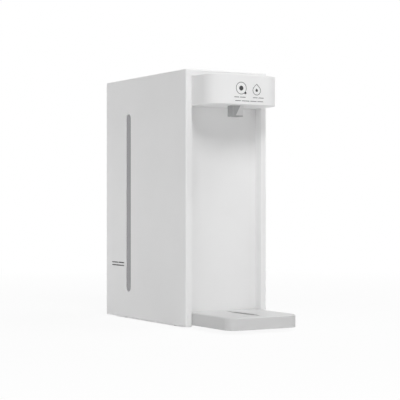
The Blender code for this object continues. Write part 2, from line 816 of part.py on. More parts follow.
def housing_shell():
    """Sleeve of two sides and a top, hollow front frame, tank opening with its rim, window slot."""
    shell = block("housing_shell", (-HALF_W, FRONT_Y, SHELL_Z), (HALF_W, BACK_Y, TOP_Z), WHITE_ABS,
                  [(every_edge, EDGE_R, EDGE_STEPS)])
    inside = block("shell_inside", (-INNER_X, FRONT_Y + WALL, SHELL_Z - OVERRUN),
                   (INNER_X, BACK_Y + OVERRUN, TOP_Z - WALL))
    core_x = BAY_X + FRAME_RETURN
    core = block("shell_core", (-core_x, FRONT_Y, SHELL_Z - OVERRUN * 2),
                 (core_x, PANEL_Y - SEAT_GAP, TOP_Z - FRAME_W + FRAME_RETURN))
    cut(inside, core)
    bay = block("shell_bay", (-BAY_X, FRONT_Y - OVERRUN, SHELL_Z - OVERRUN),
                (BAY_X, PANEL_Y, TOP_Z - FRAME_W))
    cut(shell, inside, bay)
    rim = block("shell_rim", (-OPEN_X - RIM_T, OPEN_FRONT_Y - RIM_T, RIM_Z),
                (OPEN_X + RIM_T, REAR_FACE_Y, TOP_Z - WALL + SINK))
    scoop_x = SCOOP_W / 2
    scoop_y = OPEN_FRONT_Y - SCOOP_L
    scoop_z = TOP_Z - SCOOP_DEPTH
    cup = block("shell_scoop_cup", (-scoop_x - SCOOP_WALL, scoop_y - SCOOP_WALL, scoop_z - SCOOP_WALL),
                (scoop_x + SCOOP_WALL, OPEN_FRONT_Y - SINK, TOP_Z - WALL + SINK))
    join(shell, rim, cup)
    opening = block("shell_opening", (-OPEN_X, OPEN_FRONT_Y, RIM_Z - OVERRUN),
                    (OPEN_X, OPEN_BACK_Y, TOP_Z + OVERRUN), None,
                    front_rounded(TANK_CORNER_R + LID_GAP))
    scoop = block("shell_scoop", (-scoop_x, scoop_y, scoop_z), (scoop_x, OPEN_FRONT_Y + SINK, TOP_Z + OVERRUN),
                  None, front_rounded(SCOOP_R, EDGE_STEPS))
    slot = window_block("shell_window_slot", WINDOW_W / 2, 0, -HALF_W - OVERRUN, -INNER_X + SINK)
    cut(shell, opening, scoop, slot)
    low = BASE_TOP_Z + SEAT_GAP
    join(shell, rods("shell_bosses", mirrored(BOSS_X, BOSS_Y, low), (0, 0, BOSS_H), BOSS_R))
    for side in (-1, 1):
        ends = sorted((side * BOSS_X, side * (INNER_X + SINK)))
        join(shell, block("shell_boss_web", (ends[0], BOSS_Y - BOSS_WEB_T / 2, low),
                          (ends[1], BOSS_Y + BOSS_WEB_T / 2, low + BOSS_H)))
    cut(shell, rods("shell_pilot_holes", mirrored(BOSS_X, BOSS_Y, low - OVERRUN), (0, 0, BOSS_H),
                    SCREW_R + SEAT_GAP, sides=TINY_SIDES))
    return shell


def level_window():
    """Smoked strip that fills the side slot, with a flange inside the wall."""
    window = window_block("level_window", WINDOW_W / 2 - SEAT_GAP, -SEAT_GAP, -HALF_W + WINDOW_RECESS,
                          -INNER_X + SEAT_GAP + SINK, SMOKED_PC)
    flange = window_block("window_flange", WINDOW_W / 2 + WINDOW_FLANGE, WINDOW_FLANGE,
                          -INNER_X + SEAT_GAP, -INNER_X + SEAT_GAP + WINDOW_FLANGE_T)
    join(window, flange)
    return window


def front_panel():
    """Recessed front wall with a hose window, two ribs and the sockets of the tray hooks."""
    panel = block("front_panel", (-PLATE_X, PANEL_Y, BASE_TOP_Z + SEAT_GAP),
                  (PLATE_X, PANEL_BACK_Y, TOP_Z - WALL - SEAT_GAP), WHITE_ABS)
    rib_x = PLATE_X - PANEL_RIB_SIDE
    rib_low = BASE_TOP_Z + PANEL_RIB_END
    rib_high = HEAD_Z - PANEL_RIB_END
    for side in (-1, 1):
        x = side * rib_x
        join(panel, block("panel_rib", (x - PANEL_RIB_T / 2, PANEL_BACK_Y - SINK, rib_low),
                          (x + PANEL_RIB_T / 2, PANEL_BACK_Y + PANEL_RIB_D, rib_high)))
    half = HOSE_WINDOW_W / 2
    cut(panel, block("panel_hose_window", (-half, PANEL_Y - OVERRUN, HEAD_Z + HOSE_WINDOW_INSET),
                     (half, PANEL_BACK_Y + OVERRUN, HEAD_TOP_Z - HOSE_WINDOW_INSET)))
    holes = mirrored(HEAD_BOSS_X, PANEL_Y - OVERRUN, HEAD_BOSS_Z)
    cut(panel, rods("panel_screw_holes", holes, (0, PANEL_T + OVERRUN * 2, 0), SCREW_R + SEAT_GAP,
                    sides=TINY_SIDES))
    hook_x = HOOK_W / 2 + RUN_GAP
    for side in (-1, 1):
        x = side * HOOK_X
        cut(panel, block("panel_hook_socket", (x - hook_x, PANEL_Y - OVERRUN, BASE_TOP_Z - OVERRUN),
                         (x + hook_x, PANEL_BACK_Y + OVERRUN, HOOK_TOP_Z + RUN_GAP)))
    return panel


def gland_place():
    """Where the cord enters, in the rear panel."""
    return GLAND_X, BASE_TOP_Z + GLAND_RISE


def post_screw_height():
    """Height of the two rear screws."""
    return BASE_TOP_Z + POST_H - POST_HOLE_DROP


def rear_panel():
    """Rear wall below the tank rim, with vents, the gland hole and two screw holes."""
    panel = block("rear_panel", (-PLATE_X, REAR_INNER_Y, BASE_Z), (PLATE_X, REAR_FACE_Y, RIM_Z - SEAT_GAP),
                  WHITE_ABS)
    vent_x = REAR_VENT_SIDE - PLATE_X
    vent_z = BASE_TOP_Z + REAR_VENT_RISE
    vents = block_row("rear_vents", (vent_x, REAR_INNER_Y - OVERRUN, vent_z),
                      (vent_x + REAR_VENT_W, BACK_Y, vent_z + REAR_VENT_H),
                      (REAR_VENT_PITCH, 0, 0), REAR_VENT_COUNT)
    x, z = gland_place()
    hole = rods("rear_gland_hole", [(x, REAR_INNER_Y - OVERRUN, z)], (0, REAR_T + OVERRUN * 2, 0),
                GLAND_R + SEAT_GAP, sides=ROUND_SIDES)
    screw_holes = rods("rear_screw_holes", mirrored(POST_X, REAR_INNER_Y - OVERRUN, post_screw_height()),
                       (0, REAR_T + OVERRUN * 2, 0), SCREW_R + SEAT_GAP, sides=TINY_SIDES)
    cut(panel, vents, hole, screw_holes)
    return panel


def rear_screws():
    """Two screws that hold the rear panel to the base plate."""
    for side, seat in zip(SIDES, mirrored(POST_X, REAR_FACE_Y + SEAT_GAP, post_screw_height())):
        screw("rear_screw_" + side, seat, (0, -1, 0))


def cord_gland():
    """Bushing where the cord enters, flange outside."""
    x, z = gland_place()
    section = [(GLAND_BORE_R, GLAND_FLANGE_T), (GLAND_FLANGE_R, GLAND_FLANGE_T), (GLAND_FLANGE_R, 0),
               (GLAND_R, 0), (GLAND_R, -GLAND_L), (GLAND_BORE_R, -GLAND_L)]
    return turned("cord_gland", section, (x, REAR_FACE_Y + SEAT_GAP, z), RUBBER, run=(0, 1, 0))


def foot_places():
    """Name and place of each foot, in plan."""
    ends = (("front", PANEL_BACK_Y + FOOT_INSET), ("rear", REAR_INNER_Y - FOOT_INSET))
    return [(f"foot_{end}_{side}", x, y) for end, y in ends for side, (x, y) in zip(SIDES, mirrored(FOOT_X, y))]


def base_plate():
    """Bottom plate with foot recesses, screw recesses, vents and posts for the rear panel."""
    back_y = REAR_INNER_Y - SEAT_GAP
    plate = block("base_plate", (-PLATE_X, PANEL_Y, BASE_Z), (PLATE_X, back_y, BASE_TOP_Z), WHITE_ABS)
    half = POST_W / 2
    for side in (-1, 1):
        x = side * POST_X
        join(plate, block("base_post", (x - half, back_y - POST_W, BASE_TOP_Z - SINK),
                          (x + half, back_y, BASE_TOP_Z + POST_H)))
    post_holes = rods("base_post_holes", mirrored(POST_X, back_y - POST_W - OVERRUN, post_screw_height()),
                      (0, POST_W + OVERRUN * 2, 0), SCREW_R + SEAT_GAP, sides=TINY_SIDES)
    feet = rods("base_foot_recesses", [(x, y, BASE_Z - OVERRUN) for name, x, y in foot_places()],
                (0, 0, OVERRUN + FOOT_RECESS), FOOT_R + SEAT_GAP, sides=ROUND_SIDES)
    heads = rods("base_screw_recesses", mirrored(BOSS_X, BOSS_Y, BASE_Z - OVERRUN),
                 (0, 0, OVERRUN + SCREW_RECESS), SCREW_HEAD_R + SEAT_GAP)
    holes = rods("base_screw_holes", mirrored(BOSS_X, BOSS_Y, BASE_Z), (0, 0, BASE_T + OVERRUN),
                 SCREW_R + SEAT_GAP, sides=TINY_SIDES)
    vent_x = FOOT_X - FOOT_R - VENT_MARGIN
    vent_y = PANEL_BACK_Y + VENT_INSET
    pitch = (vent_x * 2 - VENT_W) / (VENT_COUNT - 1)
    vents = block_row("base_vents", (-vent_x, vent_y, BASE_Z - OVERRUN),
                      (-vent_x + VENT_W, vent_y + VENT_L, BASE_TOP_Z + OVERRUN), (pitch, 0, 0), VENT_COUNT)
    cut(plate, post_holes, feet, heads, holes, vents)
    return plate


def feet():
    """Four rubber feet in their recesses."""
    for name, x, y in foot_places():
        rods(name, [(x, y, 0)], (0, 0, BASE_Z + FOOT_RECESS - SEAT_GAP), FOOT_R, RUBBER, ROUND_SIDES)


def base_screws():
    """Two screws from below into the bosses of the shell."""
    for side, seat in zip(SIDES, mirrored(BOSS_X, BOSS_Y, BASE_Z + SCREW_RECESS - SEAT_GAP)):
        screw("base_screw_" + side, seat, (0, 0, 1))


def inner_frame():
    """Partition in front of the tank and the deck under it, with legs, guides and board posts."""
    frame = block("inner_frame", (-PLATE_X, PARTITION_Y, BASE_TOP_Z + SEAT_GAP),
                  (PLATE_X, PARTITION_BACK_Y, RIM_Z - SEAT_GAP), NYLON)
    deck = block("frame_deck", (-PLATE_X, PARTITION_BACK_Y - SINK, DECK_LOW_Z),
                 (PLATE_X, REAR_INNER_Y - SEAT_GAP, DECK_Z))
    legs = rods("frame_legs", [(x, y, BASE_TOP_Z + SEAT_GAP) for x in (LEG_SIDE - PLATE_X, PLATE_X - LEG_SIDE)
                               for y in (PARTITION_BACK_Y + LEG_INSET, REAR_INNER_Y - LEG_INSET)],
                (0, 0, DECK_LOW_Z - BASE_TOP_Z - SEAT_GAP + SINK), LEG_R)
    join(frame, deck, legs)
    guide_x = TANK_X + LID_GAP
    for side in (-1, 1):
        low_x = min(side * guide_x, side * (guide_x + GUIDE_T))
        join(frame, block("frame_guide", (low_x, TANK_FRONT_Y + GUIDE_INSET, DECK_Z - SINK),
                          (low_x + GUIDE_T, TANK_BACK_Y - GUIDE_INSET, DECK_Z + GUIDE_H)))
    posts = rods("frame_board_posts", power_post_places(PARTITION_Y - POWER_STANDOFF),
                 (0, POWER_STANDOFF + SINK, 0), POWER_POST_R, sides=SMALL_SIDES)
    join(frame, posts)
    middle = PUMP_X - HOSE_NOTCH_SHIFT
    half = HOSE_NOTCH_W / 2
    notch = block("frame_hose_notch", (middle - half, PARTITION_Y - OVERRUN, BASE_TOP_Z - OVERRUN),
                  (middle + half, PARTITION_BACK_Y + OVERRUN, DECK_LOW_Z - SINK))
    socket = rods("frame_valve_hole", [(0, TANK_MID_Y, DECK_LOW_Z - OVERRUN)], (0, 0, DECK_T + OVERRUN * 2),
                  NUT_HOLE_R, sides=ROUND_SIDES)
    cut(frame, notch, socket)
    return frame


# Tank

def tank_body():
    """Clear open-topped vessel with a hole for the valve."""
    tank = open_shell("tank_body", (-TANK_X, TANK_FRONT_Y, TANK_Z), (TANK_X, TANK_BACK_Y, TANK_TOP_Z),
                      TANK_WALL, CLEAR_AS,
                      [(upright, TANK_CORNER_R, CORNER_STEPS), (bottom_rim, TANK_FOOT_R, 2)], [(0, 0, 1)])
    cut(tank, rods("tank_port", [(0, TANK_MID_Y, TANK_Z - OVERRUN)], (0, 0, TANK_WALL + OVERRUN * 2),
                   VALVE_TUBE_R + SEAT_GAP, sides=ROUND_SIDES))
    return tank


def tank_collar():
    """Collar on the tank's rim, with the mouth, a grip bar across it and two hinge ears."""
    collar = block("tank_collar", (-TANK_X, TANK_FRONT_Y, COLLAR_Z), (TANK_X, TANK_BACK_Y, COLLAR_TOP_Z),
                   GREY_ABS, front_rounded(TANK_CORNER_R))
    fit = TANK_WALL + SEAT_GAP
    lip = block("collar_lip", (-TANK_X + fit, TANK_FRONT_Y + fit, COLLAR_Z - COLLAR_LIP),
                (TANK_X - fit, TANK_BACK_Y - fit, COLLAR_Z + SINK), None,
                [(upright, TANK_CORNER_R - fit + SEAT_GAP, CORNER_STEPS)])
    hollow = fit + COLLAR_LIP_T
    lip_bore = block("collar_lip_bore", (-TANK_X + hollow, TANK_FRONT_Y + hollow, COLLAR_Z - COLLAR_LIP - OVERRUN),
                     (TANK_X - hollow, TANK_BACK_Y - hollow, COLLAR_Z + OVERRUN), None,
                     [(upright, TANK_CORNER_R - hollow, CORNER_STEPS)])
    cut(lip, lip_bore)
    join(collar, lip)
    mouth_x = TANK_X - MOUTH_INSET
    mouth_y = TANK_FRONT_Y + MOUTH_INSET
    mouth_back_y = TANK_BACK_Y - MOUTH_REAR_INSET
    mouth = block("collar_mouth", (-mouth_x, mouth_y, COLLAR_Z - OVERRUN),
                  (mouth_x, mouth_back_y, COLLAR_TOP_Z + OVERRUN), None, [(upright, MOUTH_R, CORNER_STEPS)])
    cut(collar, mouth)
    grip_y = (mouth_y + mouth_back_y) / 2
    grip = block("collar_grip", (-mouth_x - SINK, grip_y - GRIP_W / 2, COLLAR_Z + SEAT_GAP),
                 (mouth_x + SINK, grip_y + GRIP_W / 2, COLLAR_Z + GRIP_T), None, [(along_x, GRIP_R, EDGE_STEPS)])
    join(collar, grip)
    for side in (-1, 1):
        low_x = side * EAR_X - EAR_W / 2
        join(collar, block("collar_ear", (low_x, HINGE_Y - EAR_R, COLLAR_TOP_Z - SINK),
                           (low_x + EAR_W, HINGE_Y + EAR_R, HINGE_Z + EAR_R), None,
                           [(top_along_x, EAR_R - END_FLAT, CORNER_STEPS)]))
    cut(collar, rods("collar_pin_hole", [(-PIN_HALF_L, HINGE_Y, HINGE_Z)], (PIN_HALF_L * 2, 0, 0),
                     PIN_R + SEAT_GAP))
    return collar


def lid_hinge_pin():
    """Pin through both ears and the lid's rear edge."""
    return rods("lid_hinge_pin", [(-PIN_HALF_L, HINGE_Y, HINGE_Z)], (PIN_HALF_L * 2, 0, 0), PIN_R, STEEL,
                TINY_SIDES)


def tank_lid():
    """Flush lid with a round rear edge on the hinge, a skirt in the mouth and a nail groove."""
    lid = block("tank_lid", (-TANK_X, TANK_FRONT_Y, LID_Z), (TANK_X, TANK_BACK_Y, TOP_Z), WHITE_ABS,
                [(front_upright, TANK_CORNER_R, CORNER_STEPS), (rear_along_x, LID_T / 2 - SINK / 2, CORNER_STEPS)])
    skirt_x = TANK_X - MOUTH_INSET - LID_GAP
    skirt_y = TANK_FRONT_Y + MOUTH_INSET + LID_GAP
    skirt_back_y = TANK_BACK_Y - MOUTH_REAR_INSET - LID_GAP
    low = LID_Z - LID_SKIRT_H
    skirt = block("lid_skirt", (-skirt_x, skirt_y, low), (skirt_x, skirt_back_y, LID_Z + SINK), None,
                  [(upright, MOUTH_R - LID_GAP, CORNER_STEPS)])
    bore = block("lid_skirt_bore", (-skirt_x + LID_SKIRT_T, skirt_y + LID_SKIRT_T, low - OVERRUN),
                 (skirt_x - LID_SKIRT_T, skirt_back_y - LID_SKIRT_T, LID_Z), None,
                 [(upright, MOUTH_R - LID_GAP - LID_SKIRT_T, CORNER_STEPS)])
    cut(skirt, bore)
    join(lid, skirt)
    notch_x = EAR_W / 2 + RUN_GAP
    for side in (-1, 1):
        x = side * EAR_X
        cut(lid, block("lid_notch", (x - notch_x, HINGE_Y - EAR_R - RUN_GAP, LID_Z - OVERRUN),
                       (x + notch_x, TANK_BACK_Y + OVERRUN, TOP_Z + OVERRUN)))
    start = -PIN_HALF_L - SEAT_GAP
    cut(lid, rods("lid_pin_hole", [(start, HINGE_Y, HINGE_Z)], (TANK_X + OVERRUN - start, 0, 0), PIN_R + SEAT_GAP))
    half = LID_NAIL_W / 2
    cut(lid, block("lid_nail_groove", (-half, TANK_FRONT_Y - OVERRUN, LID_Z - OVERRUN),
                   (half, TANK_FRONT_Y + LID_NAIL_D, LID_Z + LID_NAIL_H)))
    return lid


def valve_body():
    """Turned valve tube with its flange, O-ring groove, web, port and a guide bar for the stem."""
    low, top = -VALVE_REACH, VALVE_TOP_Z - TANK_Z
    flange = top - VALVE_FLANGE_T
    groove_low = low + GROOVE_RISE - RING_R
    groove_top = low + GROOVE_RISE + RING_R
    groove_r = VALVE_TUBE_R - GROOVE_DEPTH
    section = [(VALVE_BORE_R, top), (VALVE_FLANGE_R, top), (VALVE_FLANGE_R, flange), (VALVE_TUBE_R, flange),
               (VALVE_TUBE_R, groove_top + SEAT_GAP), (groove_r, groove_top + SEAT_GAP),
               (groove_r, groove_low - SEAT_GAP), (VALVE_TUBE_R, groove_low - SEAT_GAP),
               (VALVE_TUBE_R, low), (VALVE_PORT_R, low), (VALVE_PORT_R, low + VALVE_WEB_T),
               (VALVE_BORE_R, low + VALVE_WEB_T)]
    body = turned("valve_body", section, (0, TANK_MID_Y, TANK_Z), NYLON)
    bar = block("valve_bar", (-VALVE_BORE_R - SINK, TANK_MID_Y - VALVE_BAR_W / 2, VALVE_TOP_Z - VALVE_BAR_T),
                (VALVE_BORE_R + SINK, TANK_MID_Y + VALVE_BAR_W / 2, VALVE_TOP_Z - SINK / 2))
    hub = rods("valve_hub", [(0, TANK_MID_Y, VALVE_TOP_Z - VALVE_BAR_T)], (0, 0, VALVE_BAR_T - SINK / 2),
               STEM_R * 2)
    hole = rods("valve_guide_hole", [(0, TANK_MID_Y, VALVE_TOP_Z - VALVE_BAR_T - OVERRUN)],
                (0, 0, VALVE_BAR_T + OVERRUN * 2), STEM_R + SEAT_GAP)
    join(bar, hub)
    join(body, bar)
    cut(body, hole)
    return body


def valve_nut():
    """Hexagon nut that clamps the valve under the tank's floor."""
    nut = rods("valve_nut", [(0, TANK_MID_Y, TANK_Z - SEAT_GAP - NUT_T)], (0, 0, NUT_T), NUT_R, NYLON, 6)
    cut(nut, rods("nut_bore", [(0, TANK_MID_Y, TANK_Z - SEAT_GAP - NUT_T - OVERRUN)],
                  (0, 0, NUT_T + OVERRUN * 2), VALVE_TUBE_R + SEAT_GAP, sides=ROUND_SIDES))
    return nut


def valve_stem():
    """Stem with its sealing disc, held up by the pin of the seat."""
    top = VALVE_TOP_Z + STEM_TOP - DISC_Z
    section = [(0, top), (STEM_R, top), (STEM_R, DISC_T), (DISC_R, DISC_T), (DISC_R, 0), (STEM_R, 0),
               (STEM_R, -STEM_TIP), (0, -STEM_TIP)]
    return turned("valve_stem", section, (0, TANK_MID_Y, DISC_Z), ACETAL_BLUE, SMALL_SIDES)


def valve_spring():
    """Coil spring between the disc and the guide bar."""
    low = DISC_Z + DISC_T + SEAT_GAP + SPRING_WIRE_R
    high = VALVE_TOP_Z - VALVE_BAR_T - SEAT_GAP - SPRING_WIRE_R
    count = SPRING_TURNS * SPRING_SIDES
    points = []
    for index in range(count + 1):
        angle = 2 * math.pi * index / SPRING_SIDES
        points.append((SPRING_R * math.cos(angle), TANK_MID_Y + SPRING_R * math.sin(angle),
                       low + (high - low) * index / count))
    return tube("valve_spring", points, SPRING_WIRE_R, STEEL, SPRING_STEPS)


def valve_o_ring():
    """Ring in the groove of the valve tube."""
    ring_r = VALVE_TUBE_R - GROOVE_DEPTH + SEAT_GAP + RING_R
    section = []
    for index in range(RING_STEPS):
        angle = math.pi / 2 - 2 * math.pi * index / RING_STEPS
        section.append((ring_r + RING_R * math.cos(angle), RING_R * math.sin(angle)))
    return turned("valve_o_ring", section, (0, TANK_MID_Y, GROOVE_Z), RUBBER)


def tank_strainer():
    """Slotted cup over the valve, inside the tank."""
    low = VALVE_TOP_Z + SEAT_GAP
    inner = STRAINER_R - STRAINER_T
    section = [(0, STRAINER_H), (STRAINER_R, STRAINER_H), (STRAINER_R, 0), (inner, 0),
               (inner, STRAINER_H - STRAINER_T), (0, STRAINER_H - STRAINER_T)]
    strainer = turned("tank_strainer", section, (0, TANK_MID_Y, low), ACETAL_BLUE)
    slot_z = low + (STRAINER_H - STRAINER_SLOT_H) / 2
    for index in range(STRAINER_SLOTS):
        half = STRAINER_R + OVERRUN
        slot = block("strainer_slot", (-half, -STRAINER_SLOT_W / 2, 0), (half, STRAINER_SLOT_W / 2, STRAINER_SLOT_H))
        slot.location = (0, TANK_MID_Y, slot_z + STRAINER_SLOT_H / 2)
        slot.rotation_euler = (0, 0, math.pi * (index + 0.5) / STRAINER_SLOTS)
        cut(strainer, slot)
    return strainer


def seat_nipple_run():
    """Direction from the tank seat towards the pump's inlet."""
    pump_end = Vector((PUMP_X, PUMP_BACK_Y + NIPPLE_L, 0))
    return (pump_end - Vector((0, TANK_MID_Y, 0))).normalized()


def tank_seat():
    """Cup under the deck that the valve plugs into, with a lift pin and the outlet nipple."""
    pin_top = STEM_LOW_Z - SEAT_GAP - SEAT_TOP_Z
    floor = -SEAT_DEPTH
    outer = SEAT_R + SEAT_WALL
    section = [(0, pin_top), (SEAT_PIN_R, pin_top), (SEAT_PIN_R, floor), (SEAT_R, floor), (SEAT_R, 0),
               (SEAT_FLANGE_R, 0), (SEAT_FLANGE_R, -SEAT_FLANGE_T), (outer, -SEAT_FLANGE_T),
               (outer, floor - SEAT_FLOOR_T), (0, floor - SEAT_FLOOR_T)]
    seat = turned("tank_seat", section, (0, TANK_MID_Y, SEAT_TOP_Z), NYLON)
    run = seat_nipple_run()
    centre = Vector((0, TANK_MID_Y, SEAT_OUTLET_Z))
    reach = SEAT_WALL + NIPPLE_L
    nipple = rods("seat_nipple", [centre + run * (SEAT_R + SINK)], run * (reach - SINK), NIPPLE_R)
    bore = rods("seat_nipple_bore", [centre + run * (SEAT_R - SINK)], run * (reach + OVERRUN), NIPPLE_BORE_R)
    join(seat, nipple)
    cut(seat, bore)
    return seat


# Head

def head_shell():
    """Round-cornered head, open below and behind, with the key pocket, board posts and bosses."""
    shell = open_shell("head_shell", (-HEAD_X, HEAD_FRONT_Y, HEAD_Z), (HEAD_X, HEAD_BACK_Y, HEAD_TOP_Z),
                       HEAD_WALL, WHITE_ABS,
                       [(front_upright, HEAD_R, HEAD_STEPS), (top_rim, HEAD_EDGE_R, 2)], [(0, 0, -1), (0, 1, 0)])
    half_w, half_d = CONTROL_X, CONTROL_D / 2
    pocket = block("head_key_pocket", (-half_w, CONTROL_Y - half_d, HEAD_TOP_Z - CONTROL_POCKET),
                   (half_w, CONTROL_Y + half_d, HEAD_TOP_Z + OVERRUN), None, [(upright, CONTROL_R, CORNER_STEPS)])
    half_w -= CONTROL_LEDGE
    half_d -= CONTROL_LEDGE
    window = block("head_key_window", (-half_w, CONTROL_Y - half_d, HEAD_TOP_Z - HEAD_WALL - OVERRUN),
                   (half_w, CONTROL_Y + half_d, HEAD_TOP_Z + OVERRUN))
    cut(shell, pocket, window)
    posts = rods("head_board_posts", mirrored(BOARD_X - BOARD_POST_R, CONTROL_Y, BOARD_TOP_Z + SEAT_GAP),
                 (0, 0, HEAD_TOP_Z - HEAD_WALL - BOARD_TOP_Z - SEAT_GAP + SINK), BOARD_POST_R, sides=TINY_SIDES)
    boss_y = HEAD_BACK_Y - HEAD_BOSS_L
    bosses = rods("head_bosses", mirrored(HEAD_BOSS_X, boss_y, HEAD_BOSS_Z), (0, HEAD_BOSS_L, 0), BOSS_R)
    join(shell, posts, bosses)
    pilots = mirrored(HEAD_BOSS_X, HEAD_BACK_Y - SCREW_L - SEAT_GAP, HEAD_BOSS_Z)
    cut(shell, rods("head_pilot_holes", pilots, (0, SCREW_L + OVERRUN, 0), SCREW_R + SEAT_GAP, sides=TINY_SIDES))
    return shell


def head_screws():
    """Two screws through the front panel into the head."""
    for side, seat in zip(SIDES, mirrored(HEAD_BOSS_X, PANEL_BACK_Y + SEAT_GAP, HEAD_BOSS_Z)):
        screw("head_screw_" + side, seat, (0, -1, 0))


def head_underside():
    """Plate that closes the head from below, with the nozzle's opening."""
    inset = HEAD_WALL + SEAT_GAP
    plate = block("head_underside", (-HEAD_X + inset, HEAD_FRONT_Y + inset, HEAD_Z),
                  (HEAD_X - inset, HEAD_BACK_Y, HEAD_Z + UNDERSIDE_T), WHITE_ABS,
                  front_rounded(HEAD_R - inset, HEAD_STEPS))
    half_w, half_d = NOZZLE_W / 2 + SEAT_GAP, NOZZLE_D / 2 + SEAT_GAP
    cut(plate, block("underside_nozzle_hole", (-half_w, NOZZLE_Y - half_d, HEAD_Z - OVERRUN),
                     (half_w, NOZZLE_Y + half_d, HEAD_Z + UNDERSIDE_T + OVERRUN), None,
                     [(upright, NOZZLE_R + SEAT_GAP, EDGE_STEPS)]))
    return plate


def nozzle_shroud():
    """Block round the spout, hung by its flange on the underside plate."""
    half_w, half_d = NOZZLE_W / 2, NOZZLE_D / 2
    shroud = block("nozzle_shroud", (-half_w, NOZZLE_Y - half_d, NOZZLE_Z),
                   (half_w, NOZZLE_Y + half_d, NOZZLE_SEAT_Z + SINK), NOZZLE_GREY, [(upright, NOZZLE_R, EDGE_STEPS)])
    grow = NOZZLE_FLANGE
    flange = block("nozzle_flange", (-half_w - grow, NOZZLE_Y - half_d - grow, NOZZLE_SEAT_Z),
                   (half_w + grow, NOZZLE_Y + half_d + grow, NOZZLE_SEAT_Z + NOZZLE_FLANGE_T))
    bore = rods("nozzle_bore", [(0, NOZZLE_Y, NOZZLE_Z - OVERRUN)],
                (0, 0, SPOUT_SEAT_Z - NOZZLE_Z + OVERRUN * 2), NOZZLE_BORE_R, sides=ROUND_SIDES)
    join(shroud, flange)
    cut(shroud, bore)
    return shroud


def spout_elbow():
    """Spout tube with a collar on the shroud and a barb towards the hose."""
    low = NOZZLE_Z + SPOUT_RECESS - SPOUT_SEAT_Z
    top = SPOUT_HEAD
    section = [(0, top), (SPOUT_R, top), (SPOUT_R, SPOUT_COLLAR_T), (SPOUT_COLLAR_R, SPOUT_COLLAR_T),
               (SPOUT_COLLAR_R, 0), (SPOUT_R, 0), (SPOUT_R, low), (SPOUT_BORE_R, low),
               (SPOUT_BORE_R, SPOUT_BARB_Z - SPOUT_SEAT_Z), (0, SPOUT_BARB_Z - SPOUT_SEAT_Z)]
    spout = turned("spout_elbow", section, (0, NOZZLE_Y, SPOUT_SEAT_Z), SILICONE)
    start = (0, NOZZLE_Y + SPOUT_R - SINK * 2, SPOUT_BARB_Z)
    barb = rods("spout_barb", [start], (0, SPOUT_BARB_L + SINK * 2, 0), HOSE_R * BARB_SHARE)
    bore = rods("spout_barb_bore", [(0, NOZZLE_Y, SPOUT_BARB_Z)], (0, SPOUT_R + SPOUT_BARB_L + OVERRUN, 0),
                NIPPLE_BORE_R)
    join(spout, barb)
    cut(spout, bore)
    return spout


def key_places():
    """Centre of each key along X, from the left."""
    first = KEY_END - CONTROL_X
    pitch = -first * 2 / (len(KEY_NAMES) - 1)
    return [first + pitch * index for index in range(len(KEY_NAMES))]


def control_panel():
    """Gloss plate in the head's pocket, with a hole for each key."""
    half_w, half_d = CONTROL_X - SEAT_GAP, CONTROL_D / 2 - SEAT_GAP
    plate = block("control_panel", (-half_w, CONTROL_Y - half_d, CONTROL_Z),
                  (half_w, CONTROL_Y + half_d, CONTROL_Z + CONTROL_T), BLACK_GLOSS,
                  [(upright, CONTROL_R - SEAT_GAP, CORNER_STEPS)])
    starts = [(x, CONTROL_Y, CONTROL_Z - OVERRUN) for x in key_places()]
    cut(plate, rods("control_key_holes", starts, (0, 0, CONTROL_T + OVERRUN * 2), KEY_R + RUN_GAP,
                    sides=ROUND_SIDES))
    return plate


def key(name, x):
    """A round key: dished cap, flange under the plate and a stem over its switch."""
    top = KEY_TOP_Z - KEY_FLANGE_Z
    low = KEY_LOW_Z - KEY_FLANGE_Z
    section = [(0, top - KEY_DISH), (KEY_R / 2, top - KEY_DISH / 2), (KEY_R - KEY_EDGE, top), (KEY_R, top - KEY_EDGE),
               (KEY_R, 0), (KEY_FLANGE_R, 0), (KEY_FLANGE_R, -KEY_FLANGE_T), (KEY_STEM_R, -KEY_FLANGE_T),
               (KEY_STEM_R, low), (0, low)]
    return turned(name, section, (x, CONTROL_Y, KEY_FLANGE_Z), KEY_WHITE, SMALL_SIDES)


def control_board():
    """Board under the keys."""
    return block("control_board", (-BOARD_X, CONTROL_Y - BOARD_HALF_D, BOARD_TOP_Z - BOARD_T),
                 (BOARD_X, CONTROL_Y + BOARD_HALF_D, BOARD_TOP_Z), BOARD_GREEN)


def key_mat():
    """Silicone mat on the board, with a dome under each key."""
    low = BOARD_TOP_Z + SEAT_GAP
    half_w = key_places()[-1] + MAT_MARGIN
    mat = block("key_mat", (-half_w, CONTROL_Y - MAT_MARGIN, low), (half_w, CONTROL_Y + MAT_MARGIN, low + MAT_T),
                SILICONE)
    domes = [(x, CONTROL_Y, low + MAT_T - SINK) for x in key_places()]
    join(mat, rods("mat_domes", domes, (0, 0, DOME_TOP_Z - low - MAT_T + SINK), DOME_R))
    return mat


# Drip tray

def tray_block(name, inset, low_z, high_z, finish=None, extra=()):
    """The tray's plan drawn in by an inset, with its two round front corners."""
    return block(name, (-TRAY_X + inset, TRAY_FRONT_Y + inset, low_z), (TRAY_X - inset, TRAY_BACK_Y - inset, high_z),
                 finish, front_rounded(TRAY_R - inset) + list(extra))


